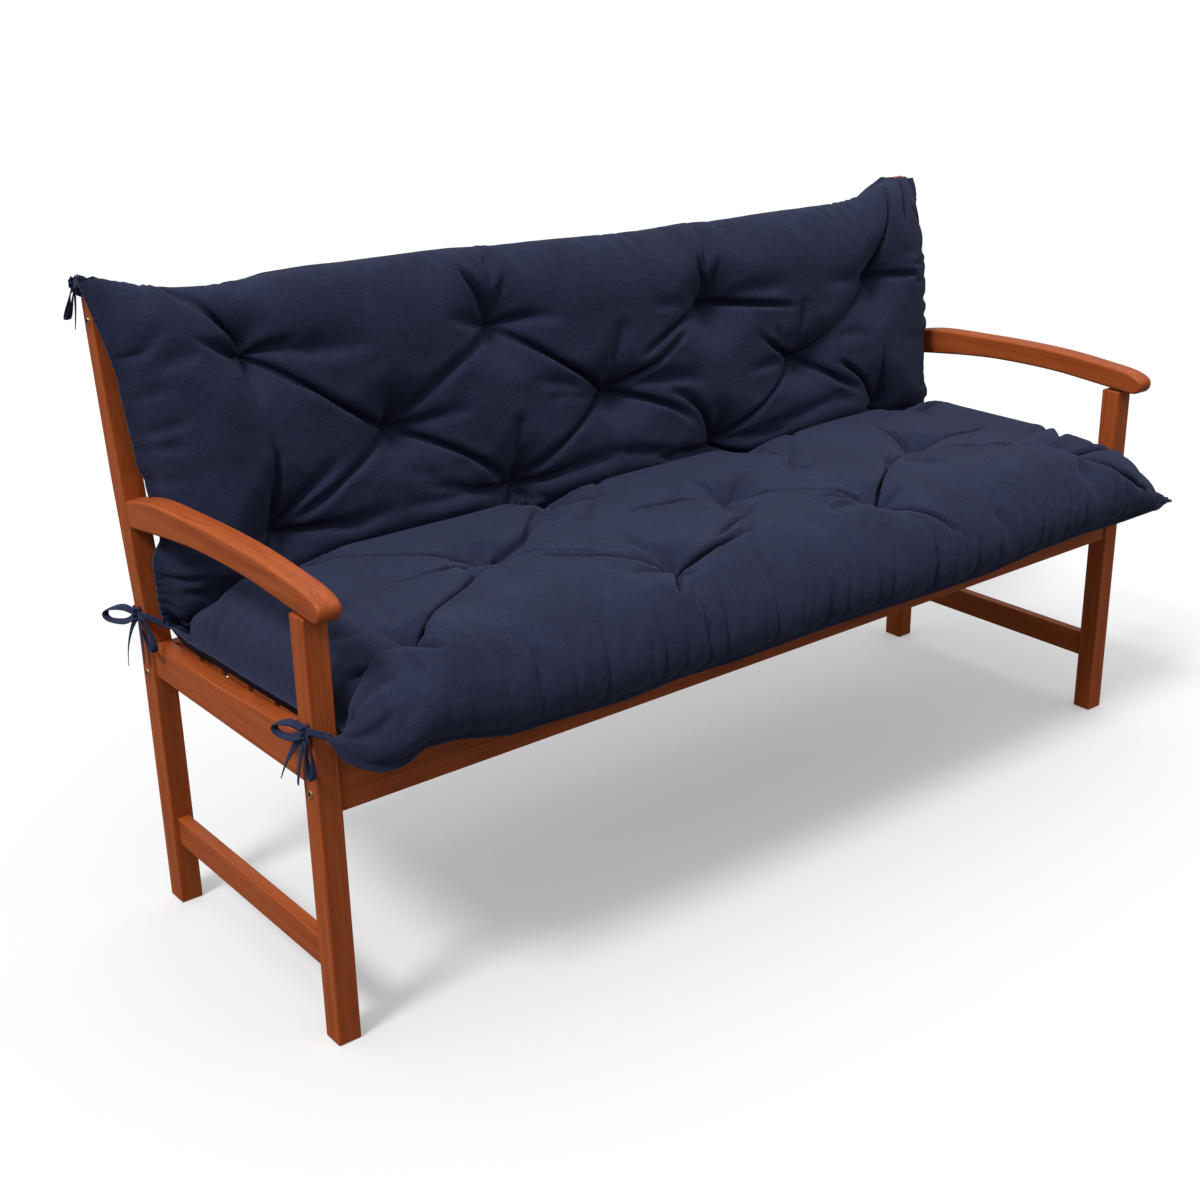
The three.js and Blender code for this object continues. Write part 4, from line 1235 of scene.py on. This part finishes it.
# Each bow lies on the bench's outer side. A loop is its tip as (y, z), how far the tip stands off the knot
# and how far the loop opens. An end has its bend there, and then its width at the tip as a share. The
# strand runs from the knot to a corner of the cushion, which aim shifts, and wrap goes round the board
ties = {
    "width": 0.0100,
    "thickness": 0.0011,
    "curl": 0.0007,
    "softEdge": 0.55,
    "pointsAcross": 5,
    "knotRound": (0.0042, 0.0072),
    "knotSlant": 0.0012,
    "knotWidth": 0.0085,
    "threads": 1100.0,
    "stitch": 0.0028,
    "stitchInset": 0.78,
    "stitchWidth": 0.16,
    "bump": (0.4, 0.0003),
    "color": (0.030, 0.040, 0.090),
    "stitchColor": (0.016, 0.020, 0.045),
    "bows": {
        "tie_front_left": {
            "knot": (-0.7898, 0.005, 0.441),
            "loops": [((0.056, 0.433), 0.014, 0.018), ((-0.012, 0.386), 0.005, 0.016)],
            "ends": [((0.061, 0.362), 0.009, 0.006, 0.16), ((0.028, 0.366), 0.004, 0.004, 1.0)],
            "corner": 0,
            "aim": (0.008, -0.006, -0.004),
            "strand": [(-0.789, -0.006, 0.444)],
            "wrap": [(-0.7866, 0.020, 0.440), (-0.7864, 0.0336, 0.440), (-0.7846, 0.0349, 0.440),
                     (-0.765, 0.0341, 0.440)],
        },
        "tie_crease_left": {
            "knot": (-0.7898, 0.466, 0.451),
            "loops": [((0.544, 0.431), 0.016, 0.020), ((0.408, 0.416), 0.006, 0.024)],
            "ends": [((0.502, 0.364), 0.008, 0.012, 0.12), ((0.457, 0.382), 0.003, -0.003, 1.0)],
            "corner": 1,
            "aim": (0.005, 0.0, 0.0),
            "strand": [(-0.7895, 0.452, 0.452), (-0.788, 0.440, 0.453)],
            "wrap": [(-0.7866, 0.480, 0.450), (-0.7864, 0.4904, 0.450), (-0.7846, 0.4918, 0.450),
                     (-0.765, 0.4909, 0.450)],
        },
        "tie_top_left": {
            "knot": (-0.792, 0.536, 0.894),
            "loops": [((0.548, 0.846), 0.010, 0.010)],
            "ends": [((0.538, 0.834), 0.005, -0.003, 0.5)],
            "corner": 2,
            "aim": (0.006, -0.001, -0.008),
            "strand": [(-0.797, 0.524, 0.894)],
            "wrap": [(-0.7885, 0.542, 0.886), (-0.783, 0.543, 0.879), (-0.765, 0.5412, 0.875)],
        },
    },
}
loopCourse = [(0, 0), (0.4, 0.5), (0.86, 0.4), (1, 0), (0.86, -0.4), (0.4, -0.5), (0, 0)]
endCourse = [(0, 0), (0.35, 0.8), (0.7, 0.8), (1, 0)]


def bowPath(knot, tip, out, width, course):
    # From the knot towards the tip by the course's shares: along the line, and aside from it
    line = np.array([tip[0] - knot[1], tip[1] - knot[2]])
    side = np.array([-line[1], line[0]]) / np.linalg.norm(line)
    return [(knot[0] - 0.001 - out * along, *(np.array(knot[1:]) + line * along + side * aside * width))
            for along, aside in course]


def catmull(points, count):
    # A smooth line through the points, parted into even steps
    points = np.array(points, float)
    ends = [2 * points[0] - points[1], *points, 2 * points[-1] - points[-2]]
    fine = []
    for a, b, c, d in zip(ends, ends[1:], ends[2:], ends[3:]):
        for t in np.arange(24) / 24:
            fine.append(0.5 * (2 * b + (c - a) * t + (2 * a - 5 * b + 4 * c - d) * t ** 2
                               + (3 * b - a - 3 * c + d) * t ** 3))
    fine = np.array(fine + [points[-1]])
    travelled = np.concatenate([[0], np.cumsum(np.linalg.norm(np.diff(fine, axis=0), axis=1))])
    at = np.linspace(0, travelled[-1], count + 1)
    return np.stack([np.interp(at, travelled, fine[:, k]) for k in range(3)], axis=1), travelled[-1]


class Tape:
    # Gathers the strips of one tie in one mesh, with the place on the tape kept for the material
    def __init__(self):
        self.verts, self.faces, self.marks, self.length = [], [], [], 0

    def strip(self, points, firstTilt=0, lastTilt=0, upright=False, end=1.0, closed=False, width=None):
        # A stretch of flat tape with soft edges, turned from one tilt to the other along its way
        count = max(8, len(points) * 6)
        around = 2 * ties["pointsAcross"]
        line, length = catmull(points, count)
        width = width or ties["width"]
        start = len(self.verts)
        ways = np.gradient(line, axis=0)
        if closed:
            ways[0] = ways[-1] = ways[0] + ways[-1]
        ways = unit(ways)
        for i, (place, way) in enumerate(zip(line, ways)):
            share = i / count
            if upright:
                across = unit(np.array([0, 0, 1.0]) - way * way[2])
            else:
                across = unit(np.cross(way, [-1.0, 0, 0]))
                tilt = math.radians(firstTilt + (lastTilt - firstTilt) * share)
                across = across * math.cos(tilt) + np.cross(way, across) * math.sin(tilt)
            through = np.cross(way, across)
            narrow = 1 - (1 - end) * share ** 2.2
            for side in (1, -1):
                for a in np.linspace(-1, 1, ties["pointsAcross"]) * side:
                    rounded = 1 - ties["softEdge"] * abs(a) ** 3
                    offset = ties["curl"] * (a * a - 0.4) * narrow
                    self.verts.append(place + across * a * narrow * width / 2
                                      + through * (offset + side * rounded * ties["thickness"] / 2))
                    self.marks.append((self.length + share * length, a, narrow))
            if i:
                base = start + (i - 1) * around
                for k in range(around):
                    n = (k + 1) % around
                    self.faces.append((base + k, base + n, base + around + n, base + around + k))
        self.faces.append(tuple(start + k for k in range(around))[::-1])
        self.faces.append(tuple(start + count * around + k for k in range(around)))
        self.length += length


def tieMaterial():
    material, shader, sketch = startMaterial(
        "tie tape", Specular_IOR_Level=0.10, Sheen_Weight=0.10, Sheen_Roughness=0.5)
    shader.inputs["Sheen Tint"].default_value = (0.55, 0.62, 0.9, 1)
    mark = sketch.add("Attribute", {"attribute_name": "tape"}).outputs["Vector"]
    parts = sketch.add("SeparateXYZ", None, Vector=mark)
    along, across = parts.outputs[0], parts.outputs[1]
    aside = sketch.math("MULTIPLY", across, ties["width"] / 2)
    place = sketch.add("CombineXYZ", None, X=along, Y=aside).outputs[0]
    woven = useEffect(sketch, weave, Place=place, Color=ties["color"], Threads=ties["threads"],
                      Variation=0.9)
    far = sketch.math("ABSOLUTE", across)
    inset, around = ties["stitchInset"], ties["stitchWidth"]
    falling = sketch.spread(far, inset, inset + around, 1.0, 0.0)
    line = sketch.math("MULTIPLY", sketch.spread(far, inset - around, inset), falling)
    turn = sketch.math("MULTIPLY", along, 2 * math.pi / ties["stitch"])
    dashes = sketch.spread(sketch.math("SINE", turn), -0.6, 0.0, 0.55, 1.0)
    stitches = sketch.math("MULTIPLY", line, dashes)
    color = sketch.mix(sketch.math("MULTIPLY", stitches, 0.8), woven["Color"], ties["stitchColor"])
    sketch.tree.links.new(color, shader.inputs["Base Color"])
    sketch.tree.links.new(woven["Roughness"], shader.inputs["Roughness"])
    height = sketch.math("SUBTRACT", woven["Height"], sketch.math("MULTIPLY", line, 1.5))
    addBump(sketch, shader, height, *ties["bump"])
    return material


tapeCloth = tieMaterial()
for name, bow in ties["bows"].items():
    tape = Tape()
    knot = bow["knot"]
    for tip, out, width in bow["loops"]:
        tape.strip(bowPath(knot, tip, out, width, loopCourse), 0, 180)
    for tip, out, width, end in bow["ends"]:
        tape.strip(bowPath(knot, tip, out, width, endCourse), 0, 20, end=end)
    corner = tuple(cornerTips[bow["corner"]] + np.array(bow["aim"]))
    tape.strip([knot, *bow["strand"], corner], upright=True)
    tape.strip([knot, *bow["wrap"]], upright=True)
    # The knot is one turn of the tape round the loops where they cross
    outward, upward = ties["knotRound"]
    turn = [(knot[0] + outward * math.cos(a), knot[1], knot[2] + upward * math.sin(a))
            for a in np.linspace(0, 2 * math.pi, 13)]
    ring = [(x, y + ties["knotSlant"] * math.sin(3 * k), z) for k, (x, y, z) in enumerate(turn)]
    tape.strip(ring, 90, 90, closed=True, width=ties["knotWidth"])
    tie = makePiece(name + "_tape", np.array(tape.verts) + np.array(origin), tape.faces, name)
    addAttribute(tie, "tape", tape.marks)
    tie.data.materials.append(tapeCloth)
    print(name, "tape length", round(tape.length, 3))
